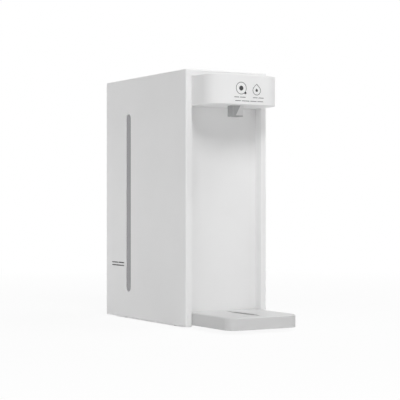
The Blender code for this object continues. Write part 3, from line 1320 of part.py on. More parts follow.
def tray_basin():
    """Shallow basin with a rebate for the cover and two hooks that enter the front panel."""
    basin = tray_block("tray_basin", 0, TRAY_Z, TRAY_TOP_Z, GREY_ABS, [(top_rim, TRAY_EDGE_R, EDGE_STEPS)])
    rebate = tray_block("tray_rebate", TRAY_RIM, COVER_Z - SEAT_GAP, TRAY_TOP_Z + OVERRUN)
    hollow = tray_block("tray_hollow", TRAY_WALL, TRAY_Z + TRAY_FLOOR, TRAY_TOP_Z)
    cut(basin, rebate, hollow)
    for side in (-1, 1):
        x = side * HOOK_X
        join(basin, block("tray_hook", (x - HOOK_W / 2, TRAY_BACK_Y - SINK, HOOK_Z),
                          (x + HOOK_W / 2, PANEL_BACK_Y + HOOK_PAST, HOOK_TOP_Z)))
    return basin


def lens_points(half_l, half_w):
    """Outline of a lens: two arcs that meet at its ends, along Y."""
    radius = (half_l**2 + half_w**2) / (2 * half_w)
    sweep = math.asin(half_l / radius)
    points = []
    for side in (1, -1):
        for index in range(SLOT_ARC_STEPS):
            angle = sweep * (1 - 2 * index / SLOT_ARC_STEPS) * side
            x = side * (radius * math.cos(angle) - radius + half_w)
            points.append((x, TRAY_MID_Y + radius * math.sin(angle)))
    return points


def tray_cover():
    """Flush cover with one long lens-shaped drain slot."""
    cover = tray_block("tray_cover", TRAY_RIM + SEAT_GAP, COVER_Z, TRAY_TOP_Z, GREY_ABS)
    outline = lens_points(SLOT_HALF_L, SLOT_W / 2)
    cut(cover, outline_block("cover_slot", outline, COVER_Z - OVERRUN, TRAY_TOP_Z + OVERRUN))
    return cover


# Machine bay

def pump_housing():
    """Volute with an axial inlet behind, a tangential outlet upwards and the rotor's chamber."""
    housing = rods("pump_housing", [(PUMP_X, PUMP_FRONT_Y, PUMP_Z)], (0, PUMP_L, 0), PUMP_R, NYLON, ROUND_SIDES)
    mid_y = (PUMP_FRONT_Y + PUMP_BACK_Y) / 2
    outlet_start = (PUMP_OUTLET_X, mid_y, PUMP_Z)
    inlet = rods("pump_inlet", [(PUMP_X, PUMP_BACK_Y - SINK, PUMP_Z)], (0, NIPPLE_L + SINK, 0), NIPPLE_R)
    outlet = rods("pump_outlet", [outlet_start], (0, 0, PUMP_OUTLET_RISE), NIPPLE_R)
    join(housing, inlet, outlet)
    chamber = rods("pump_chamber", [(PUMP_X, PUMP_FRONT_Y + PUMP_WALL, PUMP_Z)], (0, PUMP_L - PUMP_WALL * 2, 0),
                   PUMP_CAVITY_R, sides=ROUND_SIDES)
    inlet_bore = rods("pump_inlet_bore", [(PUMP_X, mid_y, PUMP_Z)], (0, PUMP_L, 0), NIPPLE_BORE_R)
    inlet_end = rods("pump_inlet_end", [(PUMP_X, PUMP_BACK_Y, PUMP_Z)], (0, NIPPLE_L + OVERRUN, 0), NIPPLE_BORE_R)
    join(inlet_bore, inlet_end)
    outlet_bore = rods("pump_outlet_bore", [outlet_start], (0, 0, PUMP_OUTLET_RISE + OVERRUN), NIPPLE_BORE_R)
    shaft_hole = rods("pump_shaft_hole", [(PUMP_X, PUMP_FRONT_Y - OVERRUN, PUMP_Z)],
                      (0, PUMP_WALL + OVERRUN * 2, 0), SHAFT_R + RUN_GAP)
    cut(housing, chamber, inlet_bore, outlet_bore, shaft_hole)
    return housing


def vanes(name, centre, radius, hub_r, thickness, low_y, high_y, count):
    """Flat vanes round an axis along Y, from the hub out to a radius."""
    bm = bmesh.new()
    x, y, z = centre
    inner = hub_r - SINK
    size = (radius - inner, high_y - low_y, thickness)
    for index in range(count):
        turn = Matrix.Rotation(2 * math.pi * index / count, 4, 'Y')
        reach = Matrix.Translation(((radius + inner) / 2, 0, 0))
        place = Matrix.Translation((x, (low_y + high_y) / 2, z)) @ turn @ reach @ Matrix.Diagonal((*size, 1))
        bmesh.ops.create_cube(bm, size=1, matrix=place)
    return add_mesh(name, bm, None)


def pump_rotor():
    """Impeller with its hub and shaft, on the pump's axis."""
    radius = PUMP_CAVITY_R - PUMP_CLEAR
    disc_y = PUMP_FRONT_Y + PUMP_WALL + PUMP_CLEAR
    section = [(0, ROTOR_DISC_T + ROTOR_BLADE_H), (ROTOR_HUB_R, ROTOR_DISC_T + ROTOR_BLADE_H),
               (ROTOR_HUB_R, ROTOR_DISC_T), (radius, ROTOR_DISC_T), (radius, 0), (SHAFT_R, 0),
               (SHAFT_R, -SHAFT_L), (0, -SHAFT_L)]
    rotor = turned("pump_rotor", section, (PUMP_X, disc_y, PUMP_Z), ACETAL_BLUE, run=(0, 1, 0))
    blades = vanes("rotor_blades", (PUMP_X, disc_y, PUMP_Z), radius - SINK, ROTOR_HUB_R, ROTOR_BLADE_T,
                   disc_y + ROTOR_DISC_T - SINK, disc_y + ROTOR_DISC_T + ROTOR_BLADE_H - SINK, ROTOR_BLADES)
    join(rotor, blades)
    return rotor


def pump_motor():
    """Motor can in front of the pump, bored for the rotor's shaft."""
    bore_r = SHAFT_R + RUN_GAP
    section = [(bore_r, 0), (MOTOR_R, 0), (MOTOR_R, -MOTOR_L), (MOTOR_HUB_R, -MOTOR_L),
               (MOTOR_HUB_R, -MOTOR_L - MOTOR_HUB_L), (bore_r, -MOTOR_L - MOTOR_HUB_L)]
    return turned("pump_motor", section, (PUMP_X, MOTOR_BACK_Y, PUMP_Z), STEEL, run=(0, 1, 0))


def pump_cradle():
    """Rubber saddle under the motor."""
    mid_y = MOTOR_BACK_Y - MOTOR_L / 2
    half_w, half_l = CRADLE_W / 2, CRADLE_L / 2
    cradle = block("pump_cradle", (PUMP_X - half_w, mid_y - half_l, BASE_TOP_Z + SEAT_GAP),
                   (PUMP_X + half_w, mid_y + half_l, PUMP_Z - MOTOR_R / 2), RUBBER)
    cut(cradle, rods("cradle_seat", [(PUMP_X, mid_y - half_l - OVERRUN, PUMP_Z)],
                     (0, CRADLE_L + OVERRUN * 2, 0), MOTOR_R + SEAT_GAP, sides=ROUND_SIDES))
    return cradle


def flow_meter():
    """Meter with a round chamber, two nipples and a lug that reaches the partition."""
    front_y = METER_Y - METER_L / 2
    meter = rods("flow_meter", [(METER_X, front_y, METER_Z)], (0, METER_L, 0), METER_R, NYLON, ROUND_SIDES)
    reach = METER_R + METER_NIPPLE_L
    nipples = rods("meter_nipples", [(METER_X - reach, METER_Y, METER_Z)], (reach * 2, 0, 0), NIPPLE_R)
    half = METER_LUG_W / 2
    lug = block("meter_lug", (METER_X - half, METER_Y + METER_L / 2 - SINK, METER_Z - half),
                (METER_X + half, PARTITION_Y - SEAT_GAP, METER_Z + half))
    join(meter, nipples, lug)
    bore = rods("meter_bore", [(METER_X - reach - OVERRUN, METER_Y, METER_Z)], ((reach + OVERRUN) * 2, 0, 0),
                NIPPLE_BORE_R)
    chamber = rods("meter_chamber", [(METER_X, front_y + METER_WALL, METER_Z)], (0, METER_L - METER_WALL * 2, 0),
                   METER_CAVITY_R, sides=ROUND_SIDES)
    pins = rods("meter_axle_holes", [(METER_X, front_y + METER_WALL / 2, METER_Z)],
                (0, METER_L - METER_WALL, 0), AXLE_R + RUN_GAP, sides=TINY_SIDES)
    cut(meter, bore, chamber, pins)
    return meter


def flow_rotor():
    """Paddle wheel in the flow meter, on its own axle."""
    axle_l = METER_L - METER_WALL - SEAT_GAP * 2
    wheel = rods("flow_rotor", [(0, 0, -axle_l / 2)], (0, 0, axle_l), AXLE_R, ACETAL_BLUE, TINY_SIDES)
    wheel.location = (METER_X, METER_Y, METER_Z)
    wheel.rotation_euler = Vector((0, 1, 0)).to_track_quat('Z', 'Y').to_euler()
    hub = rods("wheel_hub", [(METER_X, METER_Y - WHEEL_T / 2, METER_Z)], (0, WHEEL_T, 0), WHEEL_HUB_R)
    paddles = vanes("wheel_paddles", (METER_X, METER_Y, METER_Z), WHEEL_R, WHEEL_HUB_R, WHEEL_PADDLE_T,
                    METER_Y - WHEEL_T / 2 + SINK, METER_Y + WHEEL_T / 2 - SINK, WHEEL_PADDLES)
    join(hub, paddles)
    join(wheel, hub)
    return wheel


def heater_tube():
    """Upright film-heated steel tube."""
    section = [(HEATER_BORE_R, HEATER_L), (HEATER_R, HEATER_L), (HEATER_R, 0), (HEATER_BORE_R, 0)]
    return turned("heater_tube", section, (HEATER_X, HEATER_Y, HEATER_Z), STEEL)


def heater_cap(name, low_z, socket_z, socket_reach, nipple_start, nipple_run):
    """Cap on one end of the heater: a socket for the tube, and a nipple."""
    cap = rods(name, [(HEATER_X, HEATER_Y, low_z)], (0, 0, CAP_H), CAP_R, NYLON, ROUND_SIDES)
    run = Vector(nipple_run)
    start = Vector(nipple_start)
    nipple = rods(name + "_nipple", [start - run * SINK * 2], run * (CAP_NIPPLE_L + SINK * 2), NIPPLE_R)
    socket = rods(name + "_socket", [(HEATER_X, HEATER_Y, socket_z)], (0, 0, socket_reach), HEATER_R + SEAT_GAP,
                  sides=ROUND_SIDES)
    bore = rods(name + "_bore", [start - run * CAP_R], run * (CAP_R + CAP_NIPPLE_L + OVERRUN), NIPPLE_BORE_R)
    join(cap, nipple)
    cut(cap, socket, bore)
    return cap


def heater_lower_cap():
    """Lower cap, with its inlet towards the flow meter."""
    socket_z = HEATER_CAP_Z + CAP_H - CAP_SOCKET
    start = (HEATER_X + CAP_R, HEATER_Y, METER_Z)
    return heater_cap("heater_lower_cap", HEATER_CAP_Z, socket_z, CAP_SOCKET + OVERRUN, start, (1, 0, 0))


def heater_upper_cap():
    """Upper cap, with its outlet upwards and a hole for the thermistor."""
    start = (HEATER_X, HEATER_Y, UPPER_CAP_Z + CAP_H)
    cap = heater_cap("heater_upper_cap", UPPER_CAP_Z, UPPER_CAP_Z - OVERRUN, CAP_SOCKET + OVERRUN, start, (0, 0, 1))
    cut(cap, rods("thermistor_hole", [(HEATER_X, HEATER_Y - CAP_R - OVERRUN, thermistor_height())],
                  (0, CAP_R / 2 + OVERRUN, 0), PROBE_R + SEAT_GAP, sides=SMALL_SIDES))
    return cap


def thermistor_height():
    """Height of the thermistor in the upper cap."""
    return UPPER_CAP_Z + (CAP_H + CAP_SOCKET) / 2


def outlet_thermistor():
    """Probe in the upper cap, with its hexagon outside."""
    seat_y = HEATER_Y - CAP_R - SEAT_GAP
    z = thermistor_height()
    probe = rods("outlet_thermistor", [(HEATER_X, seat_y - PROBE_HEX_T, z)], (0, PROBE_HEX_T, 0), PROBE_HEX_R,
                 STEEL, 6)
    stem = rods("thermistor_stem", [(HEATER_X, seat_y - SINK, z)], (0, CAP_R / 2, 0), PROBE_R)
    tail = rods("thermistor_tail", [(HEATER_X, seat_y - PROBE_L, z)], (0, PROBE_L - PROBE_HEX_T + SINK, 0), PROBE_R)
    join(probe, stem, tail)
    return probe


def heater_bracket():
    """Sheet bracket on the partition, with two rings round the heater."""
    heights = [HEATER_Z + HEATER_L * share for share in CLAMP_RISE_SHARES]
    half = CLAMP_H / 2
    back_y = PARTITION_Y - SEAT_GAP
    bracket = block("heater_bracket", (HEATER_X - half, back_y - CLAMP_T, heights[0] - half),
                    (HEATER_X + half, back_y, heights[-1] + half), STEEL)
    for z in heights:
        ring = rods("bracket_ring", [(HEATER_X, HEATER_Y, z - half + SINK)], (0, 0, CLAMP_H - SINK * 2),
                    HEATER_R + SEAT_GAP + CLAMP_T, sides=ROUND_SIDES)
        arm = block("bracket_arm", (HEATER_X - CLAMP_T, HEATER_Y + HEATER_R, z - half + SINK * 2),
                    (HEATER_X + CLAMP_T, back_y - SINK, z + half - SINK * 2))
        join(bracket, ring, arm)
        cut(bracket, rods("bracket_bore", [(HEATER_X, HEATER_Y, z - CLAMP_H)], (0, 0, CLAMP_H * 2),
                          HEATER_R + SEAT_GAP, sides=ROUND_SIDES))
    return bracket


def thermal_cutout():
    """Thermal cut-out against the front of the heater."""
    start = (HEATER_X, HEATER_Y - HEATER_R - SEAT_GAP - CUTOUT_T, HEATER_Z + HEATER_L * CUTOUT_RISE_SHARE)
    return rods("thermal_cutout", [start], (0, CUTOUT_T, 0), CUTOUT_R, BOARD_BLACK)


# Electrics

def power_post_places(y):
    """The four posts of the power board, at a depth."""
    x = POWER_W / 2 - POWER_POST_INSET
    low, high = POWER_Z + POWER_POST_INSET, POWER_Z + POWER_H - POWER_POST_INSET
    return [(POWER_X + sign * x, y, z) for sign in (-1, 1) for z in (low, high)]


def board_spot(shares, size):
    """Low and high corners of a part on the board's face, sunk into it; the shares place its centre."""
    width, depth, height = size
    x = POWER_X + POWER_W * shares[0] - POWER_W / 2
    z = POWER_Z + POWER_H * shares[1]
    return (x - width / 2, POWER_FACE_Y - depth, z - height / 2), (x + width / 2, POWER_FACE_Y + SINK, z + height / 2)


def power_board():
    """Upright board on the partition's posts, with its relay, terminals, capacitor and heat sink soldered on."""
    half = POWER_W / 2
    board = block("power_board", (POWER_X - half, POWER_FACE_Y, POWER_Z),
                  (POWER_X + half, POWER_FACE_Y + BOARD_T, POWER_Z + POWER_H), BOARD_GREEN)
    join(board, block("board_relay", *board_spot(RELAY_SPOT_SHARES, RELAY_SIZE)),
         block("board_terminals", *board_spot(TERMINAL_SPOT_SHARES, TERMINAL_SIZE)))
    low, high = board_spot(CAPACITOR_SPOT_SHARES, (0, CAPACITOR_L, 0))
    join(board, rods("board_capacitor", [low], (0, high[1] - low[1], 0), CAPACITOR_R))
    low, high = board_spot(SINK_SPOT_SHARES, SINK_SIZE)
    join(board, block("board_sink_plate", (low[0], high[1] - SINK - SINK_PLATE_T, low[2]), high))
    step = (high[0] - low[0] - SINK_FIN_T) / (SINK_FINS - 1)
    fin_high = (low[0] + SINK_FIN_T, high[1] - SINK * 2, high[2] - SINK)
    join(board, block_row("board_sink_fins", (low[0], low[1], low[2] + SINK), fin_high, (step, 0, 0), SINK_FINS))
    return board


def power_transformer():
    """Transformer on the board's face."""
    low, high = board_spot(TRANSFORMER_SPOT_SHARES, TRANSFORMER_SIZE)
    fit = SEAT_GAP + SINK
    return block("power_transformer", low, (high[0], high[1] - fit, high[2]), TAPE_YELLOW)


def control_cable():
    """Cable from the control board, through the hose window, to the power board."""
    start = (CABLE_X, CONTROL_Y + BOARD_HALF_D + SEAT_GAP, BOARD_TOP_Z - BOARD_T / 2)
    end = (CABLE_X, POWER_FACE_Y - SEAT_GAP, POWER_Z + POWER_H - CABLE_LANDING)
    reach = end[1] - start[1]
    points = bezier_points(start, (0, reach / 2, 0), end, (0, -reach / 2, 0))
    return tube("control_cable", points, CABLE_R, RUBBER)


# Hoses

def inlet_hose():
    """From the tank seat to the pump."""
    run = seat_nipple_run()
    start = Vector((0, TANK_MID_Y, SEAT_OUTLET_Z)) + run * (SEAT_R + SEAT_WALL + NIPPLE_L + SEAT_GAP)
    end = Vector((PUMP_X, PUMP_BACK_Y + NIPPLE_L + SEAT_GAP, PUMP_Z))
    pull = (end - start).length / 3
    return tube("inlet_hose", bezier_points(start, run * pull, end, (0, pull, 0)), HOSE_R, SILICONE)


def pump_hose():
    """From the pump's outlet up and round into the flow meter."""
    start = Vector((PUMP_OUTLET_X, (PUMP_FRONT_Y + PUMP_BACK_Y) / 2, PUMP_OUTLET_Z + SEAT_GAP))
    end = Vector((METER_X + METER_R + METER_NIPPLE_L + SEAT_GAP, METER_Y, METER_Z))
    pull = (end - start).length * PUMP_HOSE_PULL_SHARE
    return tube("pump_hose", bezier_points(start, (0, 0, pull), end, (pull, 0, 0)), HOSE_R, SILICONE)


def link_hose():
    """From the flow meter to the heater."""
    start = (METER_X - METER_R - METER_NIPPLE_L - SEAT_GAP, METER_Y, METER_Z)
    end = (HEATER_X + CAP_R + CAP_NIPPLE_L + SEAT_GAP, HEATER_Y, METER_Z)
    return tube("link_hose", [start, end], HOSE_R, SILICONE)


def outlet_hose():
    """From the top of the heater, through the hose window, to the spout."""
    start = Vector((HEATER_X, HEATER_Y, UPPER_CAP_Z + CAP_H + CAP_NIPPLE_L + SEAT_GAP))
    end = Vector((0, NOZZLE_Y + SPOUT_R + SPOUT_BARB_L + SEAT_GAP, SPOUT_BARB_Z))
    rise = (end.z - start.z) * OUTLET_HOSE_PULL_SHARE
    pull = (start.y - end.y) / 2
    points = bezier_points(start, (0, 0, rise), end, (0, pull, 0))
    return tube("outlet_hose", points, HOSE_R, SILICONE)


def build():
    """Make every piece, and hang the moving ones on their axes."""
    housing_shell()
    level_window()
    front_panel()
    rear_panel()
    rear_screws()
    cord_gland()
    base_plate()
    feet()
    base_screws()
    inner_frame()
    tank_seat()

    tank_axis = axis("tank_lift_axis", (0, TANK_MID_Y, TANK_Z))
    carry(tank_axis, tank_body(), tank_collar(), lid_hinge_pin(), valve_body(), valve_nut(), valve_stem(),
          valve_spring(), valve_o_ring(), tank_strainer())
    lid_axis = axis("lid_hinge_axis", (0, HINGE_Y, HINGE_Z), tank_axis)
    carry(lid_axis, tank_lid())

    head_shell()
    head_screws()
    head_underside()
    nozzle_shroud()
    spout_elbow()
    control_panel()
    control_board()
    key_mat()
    for name, x in zip(KEY_NAMES, key_places()):
        key(name, x)

    tray_axis = axis("tray_slide_axis", (0, TRAY_MID_Y, TRAY_Z))
    carry(tray_axis, tray_basin())
    cover_axis = axis("tray_cover_axis", (0, TRAY_MID_Y, COVER_Z), tray_axis)
    carry(cover_axis, tray_cover())

    pump_housing()
    pump_motor()
    pump_cradle()
    carry(axis("pump_rotor_axis", (PUMP_X, PUMP_BACK_Y, PUMP_Z)), pump_rotor())
    flow_meter()
    flow_rotor()
    heater_tube()
    heater_lower_cap()
    heater_upper_cap()
    heater_bracket()
    thermal_cutout()
    outlet_thermistor()
    inlet_hose()
    pump_hose()
    link_hose()
    outlet_hose()
    power_board()
    power_transformer()
    control_cable()


build()
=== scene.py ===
"""Instant hot water dispenser: the finished surfaces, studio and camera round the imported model.

Metres, +Z up. The front faces -Y.
"""

import json
import math

import bpy
from bpy.props import FloatProperty, FloatVectorProperty, PointerProperty
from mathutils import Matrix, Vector


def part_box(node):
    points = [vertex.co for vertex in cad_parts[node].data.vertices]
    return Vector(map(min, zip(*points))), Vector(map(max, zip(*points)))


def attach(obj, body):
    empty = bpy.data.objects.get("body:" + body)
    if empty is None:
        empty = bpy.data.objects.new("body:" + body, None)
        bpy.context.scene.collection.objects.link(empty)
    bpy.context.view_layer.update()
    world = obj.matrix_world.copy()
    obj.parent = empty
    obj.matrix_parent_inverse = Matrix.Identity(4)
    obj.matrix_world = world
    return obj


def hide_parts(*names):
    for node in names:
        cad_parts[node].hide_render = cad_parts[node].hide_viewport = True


bl_info = {
    "name": "Instant hot water dispenser",
    "version": (1, 0, 0),
    "blender": (4, 5, 0),
    "location": "3D View > Sidebar > Dispenser",
    "description": "Builds a slim countertop hot water dispenser with its finishes and studio",
    "category": "Add Mesh",
}

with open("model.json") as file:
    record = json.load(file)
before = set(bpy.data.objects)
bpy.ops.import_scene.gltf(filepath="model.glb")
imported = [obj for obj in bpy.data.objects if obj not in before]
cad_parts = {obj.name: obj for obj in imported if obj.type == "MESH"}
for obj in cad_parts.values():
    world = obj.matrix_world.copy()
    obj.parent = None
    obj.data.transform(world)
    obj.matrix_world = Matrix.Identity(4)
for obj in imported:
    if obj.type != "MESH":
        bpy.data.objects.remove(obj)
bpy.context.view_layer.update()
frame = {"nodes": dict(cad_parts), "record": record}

# Clearances and allowances
SEAT_GAP = 0.0003
PAST = 0.002
SINK = 0.0005
END_FLAT = 0.00005
ALONG = 0.9

# The two sides, and what they are called
SIDES = (-1, 1)
HANDS = ((-1, "left"), (1, "right"))

# Angles from which an edge is broken, and from which it is shaded sharp
BROKEN_FROM = math.radians(35)
SHARP_FROM = math.radians(40)

# Share of the fine edge that small pieces have
FINER = 0.5

# Housing: its walls, front frame, tank opening and finger scoop
WALL = 0.0026
FRAME_W = 0.008
FRAME_RETURN = 0.002
LID_GAP = 0.0008
RIM_T = 0.0018
RIM_H = 0.010
TANK_CORNER_R = 0.008
SCOOP_HALF_W = 0.011
SCOOP_L = 0.009
SCOOP_DEPTH = 0.0075
SCOOP_R = 0.004
SCOOP_WALL = 0.0018

# Level window
WINDOW_FLANGE = 0.004
WINDOW_FLANGE_T = 0.0014

# Head, its key pocket, and the nozzle with a pale pane of painted light in its front
HEAD_WALL = 0.0022
HEAD_SPREAD = 0.0002
HEAD_EDGE_R = 0.001
POCKET_DEPTH = 0.0012
POCKET_R = 0.006
POCKET_LEDGE = 0.0042
KEY_HOLE_R = 0.0057
NOZZLE_R = 0.003
NOZZLE_BORE_R = 0.0052
NOZZLE_FLANGE_W = 0.003
NOZZLE_FLANGE_T = 0.0018
# The pale pane in the nozzle's front is painted light, and its slanted left edge is a painted shadow edge
PAINTED_LIGHT_T = 0.0006
PAINTED_LIGHT_RIM = 0.0009
PAINTED_LIGHT_SINK = 0.0002
PAINTED_SHADOW_EDGE_X = -0.0042
PAINTED_SHADOW_CUT = 0.03
PAINTED_SHADOW_EDGE_TILT = math.radians(29)

# Keys
KEY_STEM_R = 0.0025
KEY_FLANGE_R = 0.0058
KEY_FLANGE_T = 0.001
KEY_R = 0.0052
KEY_EDGE_R = 0.0004
KEY_DISH = 0.0003
KEY_DISH_SHARES = (0.85, 0.65, 0.4, 0.15)
KEYS = ("key_lock", "key_temperature", "key_volume", "key_dispense")

# Tank, collar, lid and hinge
TANK_WALL = 0.0022
TANK_FOOT_R = 0.003
PORT_R = 0.0103
COLLAR_LIP = 0.004
COLLAR_LIP_T = 0.0018
MOUTH_INSET = 0.008
MOUTH_REAR_INSET = 0.010
MOUTH_R = 0.005
GRIP_HALF_W = 0.006
GRIP_T = 0.006
GRIP_R = 0.002
EAR_X = 0.030
EAR_HALF_W = 0.0025
EAR_R = 0.0019
PIN_R = 0.0009
LID_T = 0.0045
LID_SKIRT_T = 0.0016
NAIL_HALF_W = 0.010
NAIL_D = 0.0015
NAIL_H = 0.002
RUN_GAP = 0.0005

# Tank valve
VALVE_TUBE_R = 0.010
VALVE_BORE_R = 0.0075
VALVE_FLANGE_T = 0.0025
VALVE_WEB_T = 0.002
VALVE_PORT_R = 0.0045
VALVE_BAR_HALF_W = 0.0015
VALVE_BAR_T = 0.002
GUIDE_HUB_R = 0.0026
GROOVE_DEPTH = 0.0006
THREAD_PITCH = 0.001
THREAD_DEPTH = 0.0004
NUT_R = 0.013
NUT_CHAMFER = 0.0006
STEM_R = 0.0013
STEM_TIP = 0.0013
STEM_EDGE = 0.0003
DISC_T = 0.0016

# Strainer; its core and the sides of its groove are shares of its radius
STRAINER_T = 0.0012
STRAINER_EDGE_R = 0.0012
STRAINER_SLOT_HALF_W = 0.0009
STRAINER_SLOT_H = 0.010
STRAINER_SLOT_COUNT = 5
STRAINER_GROOVE_D = 0.0003
STRAINER_CORE = 0.25
GROOVE_OUTER = 0.7
GROOVE_INNER = 0.6

# Spout and its barb; each rib is widest at a share of its length
SPOUT_R = 0.0045
SPOUT_BORE_R = 0.003
SPOUT_CAP_R = 0.001
SPOUT_COLLAR_R = 0.0075
SPOUT_COLLAR_T = 0.0015
SPOUT_LIP_R = 0.0005
BARB_R = 0.0034
BARB_VALLEY_R = 0.0029
BARB_BORE_R = 0.0025
BARB_RISE = 0.004
BARB_SINK = 0.001
BARB_COUNT = 3
BARB_WIDEST = 0.4

# Base and rear panel: feet, posts, screws, vents and cord gland
FOOT_X = 0.040
FOOT_R = 0.0065
FOOT_RECESS = 0.0008
FOOT_CHAMFER = 0.0006
FOOT_DIMPLE_R = 0.0035
FOOT_DIMPLE = 0.0005
POST_X = 0.020
POST_HALF_W = 0.004
POST_H = 0.013
POST_SCREW_Z = 0.013
BASE_SCREW_X = 0.0483
BASE_SCREW_Y = -0.0353
SCREW_HEAD_R = 0.003
SCREW_HEAD_T = 0.001
SCREW_DOME = 0.6
SCREW_R = 0.0012
SCREW_L = 0.009
SCREW_RECESS = 0.0012
CROSS_L = 0.0018
CROSS_W = 0.0003
CROSS_DEPTH = 0.0006
VENT_FIRST_X = -0.030
VENT_PITCH = 0.0114
VENT_COUNT = 6
VENT_W = 0.003
VENT_LOW_Y = -0.0273
VENT_HIGH_Y = 0.0127
REAR_VENT_FIRST_X = -0.044
REAR_VENT_PITCH = 0.005
REAR_VENT_COUNT = 4
REAR_VENT_LOW_Z = 0.010
REAR_VENT_HIGH_Z = 0.022
GLAND_X = 0.038
GLAND_Z = 0.019
GLAND_HOLE_R = 0.0063
GLAND_R = 0.006
GLAND_BORE_R = 0.0036
GLAND_FLANGE_R = 0.0082
GLAND_FLANGE_T = 0.0014
GLAND_L = 0.008
GLAND_ROUND = 0.0004

# Printed marks; a dash is its two ends and its height
INK_T = 0.00004
DIAL_X = -0.0099
DIAL_Z = 0.2777
DIAL_R = 0.0071
DIAL_LINE = 0.0006
DIAL_HUB_R = 0.0028
DIAL_DOT = (-0.0043, 0.2723)
DIAL_DOT_R = 0.0014
DROP_X = 0.0112
DROP_Z = 0.2759
DROP_R = 0.0055
DROP_LINE = 0.0006
DROP_HEART_R = 0.0016
HEAD_DASHES = ((-0.0193, -0.0128, 0.2674), (-0.0117, -0.0040, 0.2674), (0.0060, 0.0125, 0.2674),
               (0.0136, 0.0208, 0.2674), (-0.0180, -0.0105, 0.2632), (-0.0093, 0.0012, 0.2632),
               (0.0024, 0.0110, 0.2632), (0.0122, 0.0200, 0.2632))
HEAD_DASH_H = 0.0007
SIDE_DASHES = ((0.0935, 0.1085, 0.0707), (0.1098, 0.1270, 0.0707), (0.0935, 0.1270, 0.0671))
SIDE_DASH_H = 0.0013

# Signs behind the keys; below ICON_LINE, each is a share of ICON_R
ICON_Y = -0.0768
ICON_R = 0.0011
ICON_LINE = 0.0004
LOCK_R = 0.75
LOCK_SHIFT = 0.5
BULB_R = 0.6
BULB_SHIFT = 0.8
TUBE_HALF_L = 1.1
TUBE_SHIFT = 0.4
LEVEL_BASE = 1.2
LEVEL_PITCH = 0.9
LEVEL_HEIGHTS = (0.5, 1.0, 1.5)
SIGN_DROP_R = 0.9

# Drip tray
TRAY_EDGE_R = 0.0018
TRAY_WALL = 0.003
TRAY_RIM = 0.0022
TRAY_FLOOR_T = 0.0018
HOOK_HALF_W = 0.005
HOOK_X = 0.026
HOOK_LOW = 0.0053
HOOK_HIGH = 0.0093
LENS_HALF_L = 0.037
LENS_HALF_W = 0.0052

# Lamps and camera
LAMP_AIM = (0, 0, 0.15)
KEY_PLACE = (-0.52, -1.92, 1.82)
KEY_SIZE = 0.8
HIGH_PLACE = (1.13, -0.65, 2.40)
LEFT_PLACE = (-2.20, -1.27, 0.69)
SOFT_SIZE = 1.4
REAR_PLACE = (-0.35, 0.35, 0.05)
REAR_SIZE = 0.2
SENSOR_MM = 36

# Floor: its size, where its white rises to full, and the grey band seen in the gap under the housing:
# its soft edges, where it starts behind the front, its outer and inner side, and its share of white
FLOOR_SIZE = 12
WHITE_FROM = 0.35
WHITE_TO = 1.2
EDGE_BLUR = 0.002
BAND_START = 0.022
BAND_FROM = 0.008
BAND_TO = 0.02
BAND_LEVEL = 0.45

# Facets
ROUND = 64
SMALL_ROUND = 32
HEXAGON = 6
EDGE_STEPS = 3
MID_EDGE_STEPS = 4
WIDE_EDGE_STEPS = 6
CORNER_STEPS = 10
LONG_CORNER_STEPS = 20
BIG_CORNER_STEPS = 24
ARC_ROUND = 512


# Colours

def hex_colour(code):
    """Turn an sRGB hex code into a linear colour."""
    channels = [int(code[index:index + 2], 16) / 255 for index in (1, 3, 5)]
    return tuple(c / 12.92 if c <= 0.04045 else ((c + 0.055) / 1.055) ** 2.4 for c in channels)


# Sizes and colours that a user may change

class DispenserShape(bpy.types.PropertyGroup):
    """Sizes of the visible edges."""
    edge_radius: FloatProperty(
        name="Housing edge", description="Radius of the outer edges of the housing",
        default=0.0018, min=0.0005, max=0.0025, unit='LENGTH')
    fine_edge: FloatProperty(
        name="Fine edge", description="Radius that breaks each moulded edge",
        default=0.0004, min=0.0001, max=0.0006, unit='LENGTH')
    head_corner: FloatProperty(
        name="Head corner", description="Radius of the head's front corners, in plan",
        default=0.024, min=0.010, max=0.030, unit='LENGTH')
    tray_corner: FloatProperty(
        name="Tray corner", description="Radius of the drip tray's front corners, in plan",
        default=0.014, min=0.005, max=0.015, unit='LENGTH')


class DispenserColours(bpy.types.PropertyGroup):
    """Colours of the finishes."""
    white: FloatVectorProperty(
        name="White housing", description="ABS of the housing and head",
        default=hex_colour("#F1F1F1"), min=0, max=1, subtype='COLOR')
    grey: FloatVectorProperty(
        name="Grey tray", description="ABS of the drip tray and the tank collar",
        default=hex_colour("#D1D1D1"), min=0, max=1, subtype='COLOR')
    nozzle: FloatVectorProperty(
        name="Nozzle", description="Plastic of the nozzle shroud",
        default=hex_colour("#ACADAE"), min=0, max=1, subtype='COLOR')
    window: FloatVectorProperty(
        name="Level window", description="Smoked polycarbonate of the level window",
        default=hex_colour("#9A9A9C"), min=0, max=1, subtype='COLOR')
    panel: FloatVectorProperty(
        name="Control panel", description="Gloss plate round the keys",
        default=hex_colour("#26272A"), min=0, max=1, subtype='COLOR')
    ink: FloatVectorProperty(
        name="Print", description="Ink of the printed marks",
        default=hex_colour("#3A3A3C"), min=0, max=1, subtype='COLOR')


